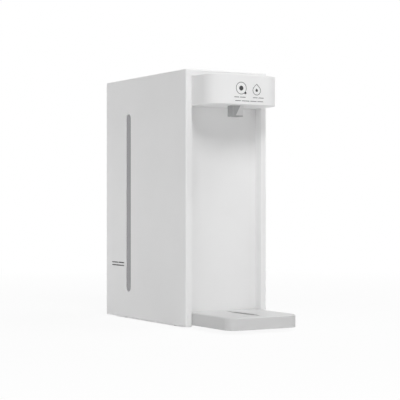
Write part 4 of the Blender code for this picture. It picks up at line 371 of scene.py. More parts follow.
class DispenserStage(bpy.types.PropertyGroup):
    """Lamps, floor and camera."""
    key_power: FloatProperty(
        name="Key lamp", description="Power of the softbox in front, a little to the left",
        default=24.6, min=0, max=200, unit='POWER')
    high_power: FloatProperty(
        name="High lamp", description="Power of the large softbox high on the right",
        default=27.2, min=0, max=200, unit='POWER')
    left_power: FloatProperty(
        name="Left lamp", description="Power of the large softbox in front on the left",
        default=10.7, min=0, max=200, unit='POWER')
    rear_power: FloatProperty(
        name="Rear lamp", description="Power of the small softbox low beside the rear",
        default=0.35, min=0, max=200, unit='POWER')
    world_level: FloatProperty(
        name="Room light", description="Even light from all sides",
        default=0.175, min=0, max=2)
    floor: FloatVectorProperty(
        name="Floor", description="Pale floor",
        default=hex_colour("#F4F4F4"), min=0, max=1, subtype='COLOR')
    floor_white: FloatProperty(
        name="Floor white", description="Share of the floor seen as plain white",
        default=0.92, min=0, max=1, subtype='FACTOR')
    camera_place: FloatVectorProperty(
        name="Camera place", description="Where the camera stands",
        default=(-0.784, -1.3164, 0.1455), subtype='TRANSLATION', unit='LENGTH')
    camera_turn: FloatProperty(
        name="Camera turn", description="Turn of the camera about Z",
        default=math.radians(-30.77), subtype='ANGLE', unit='ROTATION')
    lens: FloatProperty(
        name="Lens", description="Focal length in millimetres on a 36 mm sensor",
        default=112.70, min=20, max=300)
    shift: FloatProperty(
        name="Shift", description="Upward shift of the frame",
        default=0.0089, min=-0.1, max=0.1)


# Modelling by hand

def bare():
    """Object mode with nothing selected."""
    if bpy.context.mode != 'OBJECT':
        bpy.ops.object.mode_set(mode='OBJECT')
    bpy.ops.object.select_all(action='DESELECT')


def only(obj):
    """Select one object and make it active."""
    bare()
    obj.select_set(True)
    bpy.context.view_layer.objects.active = obj


def settle(name):
    """Name the active object and put its place into its mesh."""
    obj = bpy.context.object
    obj.name = name
    obj.data.name = name
    bpy.ops.object.transform_apply(location=True, rotation=True, scale=True)
    return obj


def put(obj, place, turn=(0, 0, 0)):
    """Move and turn a piece, with its place in its mesh."""
    only(obj)
    obj.location = place
    obj.rotation_euler = turn
    return settle(obj.name)


def facing(run):
    """The turn that points Z along a run."""
    return Vector(run).to_track_quat('Z', 'Y').to_euler()


def wider(low, high, by, low_z, high_z):
    """Corners of a plan made wider all round by a length, between two heights."""
    return Vector((low.x - by, low.y - by, low_z)), Vector((high.x + by, high.y + by, high_z))


def bar(name, low, high, test=None, radius=0, steps=CORNER_STEPS):
    """A cube between two corners, with the edges that pass a test rounded."""
    bare()
    low, high = Vector(low), Vector(high)
    bpy.ops.mesh.primitive_cube_add(size=1, location=(low + high) / 2, scale=high - low)
    made = settle(name)
    if radius:
        round_edges(made, test, radius, steps)
    return made


def drum(name, start, reach, radius, sides=ROUND):
    """A cylinder from a start point along a reach."""
    bare()
    reach = Vector(reach)
    bpy.ops.mesh.primitive_cylinder_add(vertices=sides, radius=radius, depth=reach.length,
                                        location=Vector(start) + reach / 2, rotation=facing(reach))
    return settle(name)


def turned(name, rings, at, run=(0, 0, 1), sides=ROUND, pierced=False):
    """A lathe shape: a circle extruded from ring to ring, each a radius and a height."""
    bare()
    radius, height = rings[0]
    bpy.ops.mesh.primitive_circle_add(vertices=sides, radius=radius, fill_type='NOTHING',
                                      location=(0, 0, height))
    obj = settle(name)
    bpy.ops.object.mode_set(mode='EDIT')
    bpy.ops.mesh.select_mode(type='VERT')
    bpy.ops.mesh.select_all(action='SELECT')
    for next_radius, next_height in rings[1:]:
        bpy.ops.mesh.extrude_edges_move(TRANSFORM_OT_translate={"value": (0, 0, next_height - height)})
        share = next_radius / radius
        bpy.ops.transform.resize(value=(share, share, 1), center_override=(0, 0, next_height))
        radius, height = next_radius, next_height
    bpy.ops.mesh.select_all(action='DESELECT')
    bpy.ops.mesh.select_non_manifold()
    if pierced:
        bpy.ops.mesh.bridge_edge_loops()
    else:
        bpy.ops.mesh.fill_holes(sides=0)
    bpy.ops.mesh.select_all(action='SELECT')
    bpy.ops.mesh.normals_make_consistent(inside=False)
    return put(obj, at, facing(run))


def rounded(radius, height, corner, rising):
    """Rings of a rounded corner, from the flat to the wall or from the wall to the flat."""
    turns = [math.pi / 2 * step / EDGE_STEPS for step in range(EDGE_STEPS + 1)]
    if rising:
        return [(radius - corner * (1 - math.sin(turn)), height + corner * (1 - math.cos(turn)))
                for turn in turns]
    return [(radius - corner * (1 - math.cos(turn)), height - corner * (1 - math.sin(turn)))
            for turn in turns]


def pick(obj, kind, test):
    """Edit mode with only the faces or edges selected whose middle and direction pass a test."""
    only(obj)
    bpy.ops.object.mode_set(mode='EDIT')
    bpy.ops.mesh.select_mode(type=kind)
    bpy.ops.mesh.select_all(action='DESELECT')
    bpy.ops.object.mode_set(mode='OBJECT')
    mesh = obj.data
    if kind == 'FACE':
        for face in mesh.polygons:
            face.select = test(face.center, face.normal)
    else:
        for edge in mesh.edges:
            first, second = (mesh.vertices[index].co for index in edge.vertices)
            edge.select = test((first + second) / 2, (second - first).normalized())
    bpy.ops.object.mode_set(mode='EDIT')


def round_edges(obj, test, radius, steps=CORNER_STEPS):
    """Round the edges that pass a test."""
    pick(obj, 'EDGE', test)
    bpy.ops.mesh.bevel(offset=radius, offset_type='OFFSET', segments=steps, profile=0.5, affect='EDGES')
    bpy.ops.object.mode_set(mode='OBJECT')


def modify(obj, kind, **settings):
    """Add a modifier with its settings and apply it."""
    only(obj)
    step = obj.modifiers.new(kind.lower(), kind)
    for key, value in settings.items():
        setattr(step, key, value)
    bpy.ops.object.modifier_apply(modifier=step.name)


def hollow(obj, test, wall):
    """Open a block at the faces that pass a test, and give the rest a wall inwards."""
    pick(obj, 'FACE', test)
    bpy.ops.mesh.delete(type='FACE')
    bpy.ops.object.mode_set(mode='OBJECT')
    modify(obj, 'SOLIDIFY', thickness=wall, offset=-1, use_even_offset=True)


def combine(obj, operation, cutters):
    """Apply one Boolean for each cutter, then delete the cutter."""
    for cutter in cutters:
        modify(obj, 'BOOLEAN', operation=operation, object=cutter, solver='EXACT')
        bpy.data.objects.remove(cutter, do_unlink=True)


def carve(obj, *cutters):
    """Cut each cutter out of a piece."""
    combine(obj, 'DIFFERENCE', cutters)


def fuse(obj, *pieces):
    """Fuse pieces to a piece."""
    combine(obj, 'UNION', pieces)


def bore(obj, start, end, radius, sides=ROUND):
    """Bore a round hole from one point to another and past both."""
    start, end = Vector(start), Vector(end)
    past = (end - start).normalized() * PAST
    carve(obj, drum("bore", start - past, end - start + past * 2, radius, sides))


def shade(obj):
    """Smooth rounds with flat faces between them."""
    only(obj)
    bpy.ops.object.shade_smooth_by_angle(angle=SHARP_FROM)
    modify(obj, 'WEIGHTED_NORMAL', keep_sharp=True)


def soften(obj, share=1):
    """Break the sharp edges by a share of the fine edge, then shade."""
    width = bpy.context.scene.dispenser_shape.fine_edge * share
    modify(obj, 'BEVEL', width=width, segments=EDGE_STEPS, limit_method='ANGLE', angle_limit=BROKEN_FROM)
    shade(obj)


def dress(obj, body, slot, *nodes, look=None):
    """Give a finished piece its material, picked by its slot unless a look is given, and its body, and let it
    stand for its CAD nodes.
    """
    obj.data.materials.clear()
    obj.data.materials.append(materials()[look or FINISH_BY_SLOT[slot]])
    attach(obj, body)
    if nodes:
        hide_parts(*nodes)


def finish(obj, body, slot, *nodes, fine=1, look=None):
    """Soften a piece by a share of the fine edge, or only shade it, and dress it."""
    if fine:
        soften(obj, fine)
    else:
        shade(obj)
    dress(obj, body, slot, *nodes, look=look)


# Edges by direction and place

def anywhere(middle, run):
    """Every edge."""
    return True


def along_x(middle, run):
    """Edges along X."""
    return abs(run.x) > ALONG


def along_y(middle, run):
    """Edges along Y."""
    return abs(run.y) > ALONG


def upright(middle, run):
    """Edges along Z."""
    return abs(run.z) > ALONG


def front_upright(y):
    """Edges along Z in front of a depth."""
    return lambda middle, run: upright(middle, run) and middle.y < y


def top_front(y, z):
    """The top outline above a height, apart from its straight rear edge."""
    return lambda middle, run: middle.z > z and middle.y < y


# Materials

FINISH_BY_SLOT = {
    "white_abs": "abs_white_spark_eroded",
    "grey_abs": "abs_grey_satin_moulded",
    "nozzle_grey": "polypropylene_nozzle",
    "smoked_window": "polycarbonate_smoked",
    "clear_tank": "san_clear_polished",
    "gloss_black": "acrylic_gloss_black",
    "key_white": "key_plastic_matt",
    "rubber_black": "rubber_moulded_black",
    "silicone": "silicone_extruded",
    "steel": "stainless_steel_drawn",
    "nylon": "nylon_natural_moulded",
    "acetal_blue": "acetal_blue_moulded",
    "board_green": "epoxy_board_green",
    "cutout_black": "phenolic_black",
    "tape_yellow": "polyester_tape_yellow",
}


def node(tree, kind, values=None, links=None, **settings):
    """Add one node with its settings, its socket values and links from sockets or nodes' first outputs."""
    made = tree.nodes.new(kind)
    for key, value in settings.items():
        setattr(made, key, value)
    for socket, value in (values or {}).items():
        made.inputs[socket].default_value = value
    for socket, source in (links or {}).items():
        first = source.outputs[0] if isinstance(source, bpy.types.Node) else source
        tree.links.new(first, made.inputs[socket])
    return made


def empty_tree(owner):
    """The cleared node tree of a material or world."""
    owner.use_nodes = True
    owner.node_tree.nodes.clear()
    return owner.node_tree


def start(name):
    """A new material with its tree, and where each point lies on the object."""
    material = bpy.data.materials.new(name)
    tree = empty_tree(material)
    return material, tree, node(tree, 'ShaderNodeTexCoord').outputs["Object"]


def surface(tree, values, links):
    """Join a Principled shader with its values and links to the output."""
    shader = node(tree, 'ShaderNodeBsdfPrincipled', values, links)
    node(tree, 'ShaderNodeOutputMaterial', links={"Surface": shader})


def grains(size_mm, detail):
    """Noise values for grains of about a size in millimetres."""
    return {"Scale": 1000 / size_mm, "Detail": detail, "Roughness": 0.55}


def cloudy(tree, place, size_mm, detail, low=0, high=1):
    """Clouds of about a size in millimetres, spread between two values."""
    cloud = node(tree, 'ShaderNodeTexNoise', grains(size_mm, detail), {"Vector": place})
    return node(tree, 'ShaderNodeMapRange', {"From Min": 0.3, "From Max": 0.7, "To Min": low, "To Max": high},
                {"Value": cloud})


def tinted(tree, place, size_mm, detail, colour, change):
    """A colour that gets lighter and darker by a share, in clouds of about a size in millimetres."""
    dark = (*(c * (1 - change) for c in colour), 1)
    light = (*(min(1, c * (1 + change)) for c in colour), 1)
    return node(tree, 'ShaderNodeMix', {6: dark, 7: light}, {0: cloudy(tree, place, size_mm, detail)},
                data_type='RGBA').outputs[2]


def relief(tree, place, size_mm, detail, strength, depth_mm):
    """A bump with grains of about a size and a depth in millimetres."""
    grain = node(tree, 'ShaderNodeTexNoise', grains(size_mm, detail), {"Vector": place})
    return node(tree, 'ShaderNodeBump', {"Strength": strength, "Distance": depth_mm / 1000},
                {"Height": grain})


def moulded(name, colour, roughness, grain_mm, depth_mm, ior=1.54, change=0.012, **values):
    """Injection-moulded plastic: an eroded grain, slow flow variation and patches of sheen."""
    tree, place = start(name)[1:]
    surface(tree, {"IOR": ior, **values}, {
        "Base Color": tinted(tree, place, 70, 2, tuple(colour), change),
        "Roughness": cloudy(tree, place, 18, 4, roughness - 0.04, roughness + 0.04),
        "Normal": relief(tree, place, grain_mm, 4, 0.35, depth_mm)})


def materials():
    """Every finish of the dispenser, by name; the first call makes them."""
    if "abs_white_spark_eroded" in bpy.data.materials:
        return bpy.data.materials
    colours = bpy.context.scene.dispenser_colours
    # ABS from a spark-eroded mould: a soft satin white whose grain is 0.3 mm, drawn at 0.9 mm to show
    moulded("abs_white_spark_eroded", colours.white, 0.46, 0.9, 0.03)
    # The same ABS in grey for the wet parts: a little smoother, so that it wipes clean
    moulded("abs_grey_satin_moulded", colours.grey, 0.40, 0.7, 0.02)
    # Polished polypropylene: smooth, darker and slightly waxy
    moulded("polypropylene_nozzle", colours.nozzle, 0.30, 1.4, 0.02, 1.49)
    # ABS made paler than the shroud round it, with a frosted face: painted light, the lit part of the
    # nozzle's front beside a painted shadow edge
    moulded("abs_pale_painted_light", hex_colour("#E2E2E2"), 0.55, 0.5, 0.02)
    # Smoked polycarbonate, polished on the face: even grey with a clear gloss
    moulded("polycarbonate_smoked", colours.window, 0.22, 2.5, 0.01, 1.58, 0.03)
    # Piano-black acrylic cap: near black under a hard gloss
    moulded("acrylic_gloss_black", colours.panel, 0.10, 3.0, 0.005, 1.49)
    # Two-shot key plastic: matt warm white
    moulded("key_plastic_matt", hex_colour("#DEDEDC"), 0.50, 0.6, 0.02)
    # Pad-printed ink: flat, slightly uneven cover
    moulded("pad_print_ink", colours.ink, 0.55, 0.8, 0.01, 1.50, 0.08)
    # Pad-printed white ink on the keys' plate: flat and a little thin
    moulded("pad_print_white", hex_colour("#D5D6D8"), 0.55, 0.8, 0.01, 1.50, 0.05)
    # Moulded rubber: dark and matt with a dusty grain
    moulded("rubber_moulded_black", hex_colour("#2B2B2B"), 0.80, 0.5, 0.05, 1.52, 0.10)
    # Extruded silicone: milky and soft, as light goes up to 4 mm into it
    moulded("silicone_extruded", hex_colour("#D9D6CE"), 0.42, 1.5, 0.02, 1.41, 0.03,
            **{"Subsurface Weight": 0.15, "Subsurface Radius": (0.004, 0.004, 0.004)})
    # Natural nylon: cream, dry and faintly mottled
    moulded("nylon_natural_moulded", hex_colour("#CFCBC0"), 0.48, 0.8, 0.03, 1.53, 0.03)
    # Blue acetal: even colour with a waxy shine
    moulded("acetal_blue_moulded", hex_colour("#5B83AD"), 0.36, 1.2, 0.02, 1.48, 0.03)
    # Phenolic cut-out body: black and slightly speckled
    moulded("phenolic_black", hex_colour("#38383A"), 0.50, 0.6, 0.03, 1.60, 0.12)
    # Polyester tape round the transformer: amber yellow with a slick face
    moulded("polyester_tape_yellow", hex_colour("#C9A63D"), 0.30, 6.0, 0.03, 1.58, 0.06)
    clear_styrene()
    drawn_steel()
    solder_mask()
    return bpy.data.materials


def clear_styrene():
    """Clear styrene acrylonitrile, polished: see-through with a faint cool tint and tiny flow lines."""
    tree, place = start("san_clear_polished")[1:]
    surface(tree, {"Transmission Weight": 0.92, "IOR": 1.57}, {
        "Base Color": tinted(tree, place, 40, 2, hex_colour("#E6EDEF"), 0.02),
        "Roughness": cloudy(tree, place, 9, 3, 0.03, 0.08),
        "Normal": relief(tree, place, 12, 2, 0.2, 0.1)})


def drawn_steel():
    """Cold-drawn stainless steel: long fine draw lines and a soft metal gloss."""
    tree, place = start("stainless_steel_drawn")[1:]
    lines = node(tree, 'ShaderNodeMapping', {"Scale": (1, 1, 0.04)}, {"Vector": place})
    surface(tree, {"Metallic": 1.0}, {
        "Base Color": tinted(tree, lines, 0.6, 4, hex_colour("#C3C4C6"), 0.06),
        "Roughness": cloudy(tree, lines, 0.6, 4, 0.22, 0.36),
        "Normal": relief(tree, lines, 0.6, 4, 0.15, 0.02)})


def solder_mask():
    """Glass-epoxy board under green solder mask: glossy, with a faint weave and traces 2 mm apart."""
    tree, place = start("epoxy_board_green")[1:]
    traces = node(tree, 'ShaderNodeTexBrick', {"Scale": 120.0, "Mortar Size": 0.012,
                                               "Color1": (*hex_colour("#1F5A36"), 1),
                                               "Color2": (*hex_colour("#246440"), 1),
                                               "Mortar": (*hex_colour("#4E8A4F"), 1)}, {"Vector": place})
    surface(tree, {}, {
        "Base Color": traces,
        "Roughness": cloudy(tree, place, 5, 3, 0.28, 0.42),
        "Normal": node(tree, 'ShaderNodeBump', {"Strength": 0.3, "Distance": 0.00004},
                       {"Height": traces.outputs["Fac"]})})


# Housing

def window_bar(name, outer_x, inner_x, half_w, foot, head, y):
    """An upright bar with round ends, seen from the side."""
    return bar(name, (outer_x, y - half_w, foot), (inner_x, y + half_w, head),
               along_x, half_w - END_FLAT, LONG_CORNER_STEPS)


def window_place():
    """Half width, foot, head and middle depth of the window's slot, from the CAD window."""
    low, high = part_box("level_window")
    return ((high.y - low.y) / 2 - WINDOW_FLANGE, low.z + WINDOW_FLANGE, high.z - WINDOW_FLANGE,
            (low.y + high.y) / 2)


class DISPENSER_OT_housing(bpy.types.Operator):
    """Sleeve of two sides and a top, with the recessed front frame, lid opening, scoop and window slot"""
    bl_idname = "dispenser.housing"
    bl_label = "Housing"

    def execute(self, context):
        low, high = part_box("housing_shell")
        panel_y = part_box("front_panel")[0].y
        tank_low, tank_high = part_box("tank_lid")
        inner_x = high.x - WALL
        bay_x, bay_z = high.x - FRAME_W, high.z - FRAME_W
        core_x, core_z = bay_x + FRAME_RETURN, bay_z + FRAME_RETURN
        sleeve = bar("housing_sleeve", low, high,
                     anywhere, context.scene.dispenser_shape.edge_radius, WIDE_EDGE_STEPS)
        inside = bar("inside", (-inner_x, low.y + WALL, low.z - PAST),
                     (inner_x, high.y + PAST, high.z - WALL))
        carve(inside, bar("core", (-core_x, low.y, low.z - PAST * 2), (core_x, panel_y + SINK, core_z)))
        bay = bar("bay", (-bay_x, low.y - PAST, low.z - PAST), (bay_x, panel_y + PAST, bay_z))
        carve(sleeve, inside, bay)
        open_x = tank_high.x + LID_GAP
        open_y, open_back_y = tank_low.y - LID_GAP, tank_high.y + LID_GAP
        rim_z, wall_z = high.z - RIM_H, high.z - WALL + SINK
        scoop_y, scoop_z = open_y - SCOOP_L, high.z - SCOOP_DEPTH
        fuse(sleeve,
             bar("rim", (-open_x - RIM_T, open_y - RIM_T, rim_z),
                 (open_x + RIM_T, open_back_y + PAST, wall_z)),
             bar("cup", (-SCOOP_HALF_W - SCOOP_WALL, scoop_y - SCOOP_WALL, scoop_z - SCOOP_WALL),
                 (SCOOP_HALF_W + SCOOP_WALL, open_y - SINK, wall_z)))
        opening = bar("opening", (-open_x, open_y, rim_z - PAST), (open_x, open_back_y, high.z + PAST),
                      front_upright((open_y + open_back_y) / 2), TANK_CORNER_R + LID_GAP)
        scoop = bar("scoop", (-SCOOP_HALF_W, scoop_y, scoop_z), (SCOOP_HALF_W, open_y + SINK, high.z + PAST),
                    front_upright(scoop_y + SINK), SCOOP_R)
        half_w, foot, head, y = window_place()
        slot = window_bar("slot", low.x - PAST, -inner_x + SINK,
                          half_w + SEAT_GAP, foot - SEAT_GAP, head + SEAT_GAP, y)
        carve(sleeve, opening, scoop, slot)
        soften(sleeve)
        carve(sleeve, bar("panel_seat", (-core_x - SINK, panel_y - END_FLAT, low.z - PAST),
                          (core_x + SINK, panel_y + PAST, core_z + SINK)))
        dress(sleeve, "housing", "white_abs", "housing_shell")
        return {'FINISHED'}


class DISPENSER_OT_level_window(bpy.types.Operator):
    """Smoked strip in the side slot, with its flange inside the wall"""
    bl_idname = "dispenser.level_window"
    bl_label = "Level window"

    def execute(self, context):
        low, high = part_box("level_window")
        wall_x = high.x - WINDOW_FLANGE_T
        half_w, foot, head, y = window_place()
        pane = window_bar("level_pane", low.x, wall_x + SINK, half_w, foot, head, y)
        fuse(pane, window_bar("flange", wall_x, high.x,
                              half_w + WINDOW_FLANGE, foot - WINDOW_FLANGE, head + WINDOW_FLANGE, y))
        finish(pane, "housing", "smoked_window", "level_window")
        return {'FINISHED'}


# Head

class DISPENSER_OT_head(bpy.types.Operator):
    """Round-cornered head with its key pocket, and the plate that closes it from below"""
    bl_idname = "dispenser.head"
    bl_label = "Head"

    def execute(self, context):
        low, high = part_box("head_shell")
        corner = context.scene.dispenser_shape.head_corner
        spread = Vector((HEAD_SPREAD, 0, 0))
        head = bar("head_cover", low - spread, high + spread,
                   front_upright((low.y + high.y) / 2), corner, BIG_CORNER_STEPS)
        round_edges(head, top_front(high.y - SINK, high.z - SINK), HEAD_EDGE_R, MID_EDGE_STEPS)
        hollow(head, lambda middle, normal: normal.z < -ALONG or normal.y > ALONG, HEAD_WALL)
        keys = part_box("control_panel")
        carve(head,
              bar("pocket", *wider(*keys, SEAT_GAP, high.z - POCKET_DEPTH, high.z + PAST), upright, POCKET_R),
              bar("window", *wider(*keys, SEAT_GAP - POCKET_LEDGE, high.z - HEAD_WALL - PAST, high.z + PAST)))
        finish(head, "housing", "white_abs", "head_shell")

        low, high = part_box("head_underside")
        plate = bar("head_floor", low, high,
                    front_upright((low.y + high.y) / 2), corner - HEAD_WALL - SEAT_GAP, BIG_CORNER_STEPS)
        carve(plate, bar("hole", *wider(*nozzle_block(), SEAT_GAP, low.z - PAST, high.z + PAST),
                         upright, NOZZLE_R + SEAT_GAP))
        finish(plate, "housing", "white_abs", "head_underside")
        return {'FINISHED'}


def nozzle_block():
    """Corners of the shroud below its flange."""
    low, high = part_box("nozzle_shroud")
    return wider(low, high, -NOZZLE_FLANGE_W, low.z, high.z - NOZZLE_FLANGE_T)


class DISPENSER_OT_nozzle(bpy.types.Operator):
    """Shroud of the nozzle with a pale pane in its front: painted light, its slanted left edge a painted
    shadow edge
    """
    bl_idname = "dispenser.nozzle"
    bl_label = "Nozzle"

    def execute(self, context):
        low, high = nozzle_block()
        flange_low, flange_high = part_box("nozzle_shroud")
        mid_y = (low.y + high.y) / 2
        shroud = bar("nozzle_cowl", low, (high.x, high.y, high.z + SINK), upright, NOZZLE_R)
        fuse(shroud, bar("flange", (flange_low.x, flange_low.y, high.z), flange_high))
        bore(shroud, (0, mid_y, low.z), (0, mid_y, flange_high.z), NOZZLE_BORE_R)
        soften(shroud)
        left, right = low.x + PAINTED_LIGHT_RIM, high.x - PAINTED_LIGHT_RIM
        foot, top = low.z + PAINTED_LIGHT_RIM, high.z - SINK
        back = low.y + PAINTED_LIGHT_T
        carve(shroud, self.slanted(bar("pocket", (left, low.y - PAST, foot), (right, back, top))))
        dress(shroud, "housing", "nozzle_grey", "nozzle_shroud")
        # A pale pane sunk in the pocket: painted light on the nozzle's front, cut by a slanted painted shadow
        # edge
        light = self.slanted(bar("painted_light_pane", (left + END_FLAT, low.y + PAINTED_LIGHT_SINK, foot + END_FLAT),
                                 (right - END_FLAT, back, top - END_FLAT)))
        finish(light, "housing", "white_abs", fine=FINER, look="abs_pale_painted_light")
        return {'FINISHED'}

    def slanted(self, pane):
        """A pane whose left edge slants from the top right to the bottom left: the edge of a painted shadow.
        """
        low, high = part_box("nozzle_shroud")
        cutter = bar("slant", (-PAINTED_SHADOW_CUT, low.y - PAST, -PAINTED_SHADOW_CUT), (0, high.y, PAINTED_SHADOW_CUT))
        carve(pane, put(cutter, (PAINTED_SHADOW_EDGE_X, 0, low.z), (0, PAINTED_SHADOW_EDGE_TILT, 0)))
        return pane


# Drip tray

def tray_plan():
    """Front left and rear right of the tray in front of the panel."""
    low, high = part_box("tray_basin")
    return low, Vector((high.x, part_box("front_panel")[0].y - SEAT_GAP, high.z))


def tray_bar(name, inset_by, low_z, high_z):
    """The tray's plan drawn in by an inset, with its two round front corners."""
    low, back = tray_plan()
    return bar(name, *wider(low, back, -inset_by, low_z, high_z), front_upright((low.y + back.y) / 2),
               bpy.context.scene.dispenser_shape.tray_corner - inset_by, LONG_CORNER_STEPS)


class DISPENSER_OT_drip_tray(bpy.types.Operator):
    """Drip tray basin with its hooks, and the cover with its lens-shaped drain slot"""
    bl_idname = "dispenser.drip_tray"
    bl_label = "Drip tray"

    def execute(self, context):
        low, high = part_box("tray_basin")
        cover_low, cover_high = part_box("tray_cover")
        back_y = tray_plan()[1].y
        basin = tray_bar("drip_basin", 0, low.z, high.z)
        round_edges(basin, top_front(back_y - SINK, high.z - SINK), TRAY_EDGE_R, WIDE_EDGE_STEPS)
        carve(basin, tray_bar("rebate", TRAY_RIM, cover_low.z - SEAT_GAP, high.z + PAST),
              tray_bar("hollow", TRAY_WALL, low.z + TRAY_FLOOR_T, high.z))
        for side in SIDES:
            x = side * HOOK_X
            fuse(basin, bar("hook", (x - HOOK_HALF_W, back_y - SINK, HOOK_LOW),
                            (x + HOOK_HALF_W, high.y, HOOK_HIGH)))
        finish(basin, "drip_tray", "grey_abs", "tray_basin", fine=FINER)

        cover = tray_bar("drip_cover", TRAY_RIM + SEAT_GAP, cover_low.z, cover_high.z)
        mid_y = (low.y + back_y) / 2
        radius = (LENS_HALF_L**2 + LENS_HALF_W**2) / (2 * LENS_HALF_W)
        reach = (0, 0, cover_high.z - cover_low.z + PAST * 2)
        lens, arc = (drum("arc", (side * (radius - LENS_HALF_W), mid_y, cover_low.z - PAST), reach, radius,
                          ARC_ROUND) for side in SIDES)
        combine(lens, 'INTERSECT', [arc])
        carve(cover, lens)
        finish(cover, "tray_cover", "grey_abs", "tray_cover")
        return {'FINISHED'}


# Control panel and keys

class DISPENSER_OT_control_panel(bpy.types.Operator):
    """Gloss plate in the head's pocket with four round keys"""
    bl_idname = "dispenser.control_panel"
    bl_label = "Control panel"

    def execute(self, context):
        low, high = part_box("control_panel")
        plate = bar("key_plate", low, high, upright, POCKET_R - SEAT_GAP)
        mid_y = (low.y + high.y) / 2
        for name in KEYS:
            key_low, key_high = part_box(name)
            x = (key_low.x + key_high.x) / 2
            bore(plate, (x, mid_y, low.z), (x, mid_y, high.z), KEY_HOLE_R)
            self.key(name, (x, mid_y, low.z - SEAT_GAP), key_low.z, key_high.z)
        finish(plate, "housing", "gloss_black", "control_panel", fine=FINER)
        return {'FINISHED'}

    def key(self, name, seat, low_z, high_z):
        """A key with a dished cap, its flange on the seat and its stem."""
        top = high_z - seat[2]
        rim = KEY_R - KEY_EDGE_R
        cap = [(KEY_STEM_R, low_z - seat[2]), (KEY_STEM_R, -KEY_FLANGE_T), (KEY_FLANGE_R, -KEY_FLANGE_T),
               (KEY_FLANGE_R, 0), (KEY_R, 0), *rounded(KEY_R, top, KEY_EDGE_R, False),
               *((rim * share, top - KEY_DISH * (1 - share**2)) for share in KEY_DISH_SHARES)]
        finish(turned(name + "_cap", cap, seat, sides=SMALL_ROUND), name, "key_white", name, fine=0)


# Printed marks

def flat_bar(name, half_w, half_h, x=0, y=0, ends=0):
    """A flat mark lying in XY, with its corners rounded."""
    return bar(name, (x - half_w, y - half_h, 0), (x + half_w, y + half_h, INK_T), upright, ends, EDGE_STEPS)


def flat_dash(length, height):
    """A flat dash with soft ends."""
    return flat_bar("dash", length / 2, height / 2, ends=height / 3)


def flat_disc(name, radius, x=0, y=0):
    """A flat round mark."""
    return turned(name, [(radius, 0), (radius, INK_T)], (x, y, 0), sides=SMALL_ROUND)


def flat_ring(name, radius, line, x=0, y=0):
    """A flat ring, its line inside the radius."""
    inner = radius - line
    return turned(name, [(radius, 0), (radius, INK_T), (inner, INK_T), (inner, 0)], (x, y, 0), pierced=True)


def flat_drop(name, radius, thickness=INK_T, low=0.0):
    """A flat water drop: a disc with a square corner that touches it."""
    made = turned(name, [(radius, low), (radius, low + thickness)], (0, 0, 0))
    half = radius / 2
    tip = bar("tip", (-half, -half, low), (half, half, low + thickness))
    fuse(made, put(tip, (0, half * math.sqrt(2), 0), (0, 0, math.pi / 4)))
    return made


class DISPENSER_OT_head_print(bpy.types.Operator):
    """Ring, drop and plain dashes printed on the front of the head"""
    bl_idname = "dispenser.head_print"
    bl_label = "Head print"

    def execute(self, context):
        face_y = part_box("head_shell")[0].y
        marks = [("print_dial_ring", flat_ring("ring", DIAL_R, DIAL_LINE), DIAL_X, DIAL_Z),
                 ("print_dial_hub", flat_disc("hub", DIAL_HUB_R), DIAL_X, DIAL_Z),
                 ("print_dial_dot", flat_disc("dot", DIAL_DOT_R), *DIAL_DOT),
                 ("print_drop_heart", flat_drop("heart", DROP_HEART_R), DROP_X, DROP_Z),
                 ("print_drop_outline", flat_drop("outline", DROP_R), DROP_X, DROP_Z)]
        carve(marks[-1][1], flat_drop("hollow", DROP_R - DROP_LINE, INK_T * 3, -INK_T))
        marks += [(f"print_dash_{index + 1}", flat_dash(high - low, HEAD_DASH_H), (low + high) / 2, z)
                  for index, (low, high, z) in enumerate(HEAD_DASHES)]
        for name, mark, x, z in marks:
            mark.name = name
            put(mark, (x, face_y + INK_T / 2, z), (math.pi / 2, 0, 0))
            dress(mark, "housing", "cutout_black", look="pad_print_ink")
        return {'FINISHED'}


class DISPENSER_OT_side_print(bpy.types.Operator):
    """Plain dashes printed beside the level window"""
    bl_idname = "dispenser.side_print"
    bl_label = "Side print"

    def execute(self, context):
        face_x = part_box("housing_shell")[0].x
        for index, (low, high, z) in enumerate(SIDE_DASHES):
            dash = flat_dash(high - low, SIDE_DASH_H)
            dash.name = f"side_dash_{index + 1}"
            put(dash, (face_x + INK_T, (low + high) / 2, z), (math.pi / 2, 0, -math.pi / 2))
            dress(dash, "housing", "cutout_black", look="pad_print_ink")
        return {'FINISHED'}


class DISPENSER_OT_key_print(bpy.types.Operator):
    """A small white sign behind each key: a lock, a thermometer, three levels and a drop"""
    bl_idname = "dispenser.key_print"
    bl_label = "Key print"

    def execute(self, context):
        r, half_line = ICON_R, ICON_LINE / 2
        lock = flat_ring("lock", r * LOCK_R, ICON_LINE, 0, r * LOCK_SHIFT)
        fuse(lock, flat_bar("lock_body", r, r * LOCK_R, 0, -r * LOCK_SHIFT))
        thermometer = flat_disc("thermometer", r * BULB_R, 0, -r * BULB_SHIFT)
        fuse(thermometer, flat_bar("thermometer_stem", half_line, r * TUBE_HALF_L, 0, r * TUBE_SHIFT))
        levels = flat_bar("levels", r * LEVEL_BASE, half_line, 0, -r)
        for place, height in zip((-LEVEL_PITCH, 0, LEVEL_PITCH), LEVEL_HEIGHTS):
            fuse(levels, flat_bar("level", half_line, r * height / 2 + half_line / 2,
                                  r * place, r * (height / 2 - 1)))
        drop = flat_drop("drop", r * SIGN_DROP_R)
        sign_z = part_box("control_panel")[1].z - INK_T / 2
        for key, mark in zip(KEYS, (lock, thermometer, levels, drop)):
            low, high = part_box(key)
            mark.name = key + "_sign"
            put(mark, ((low.x + high.x) / 2, ICON_Y, sign_z))
            dress(mark, "housing", "key_white", look="pad_print_white")
        return {'FINISHED'}


# Tank

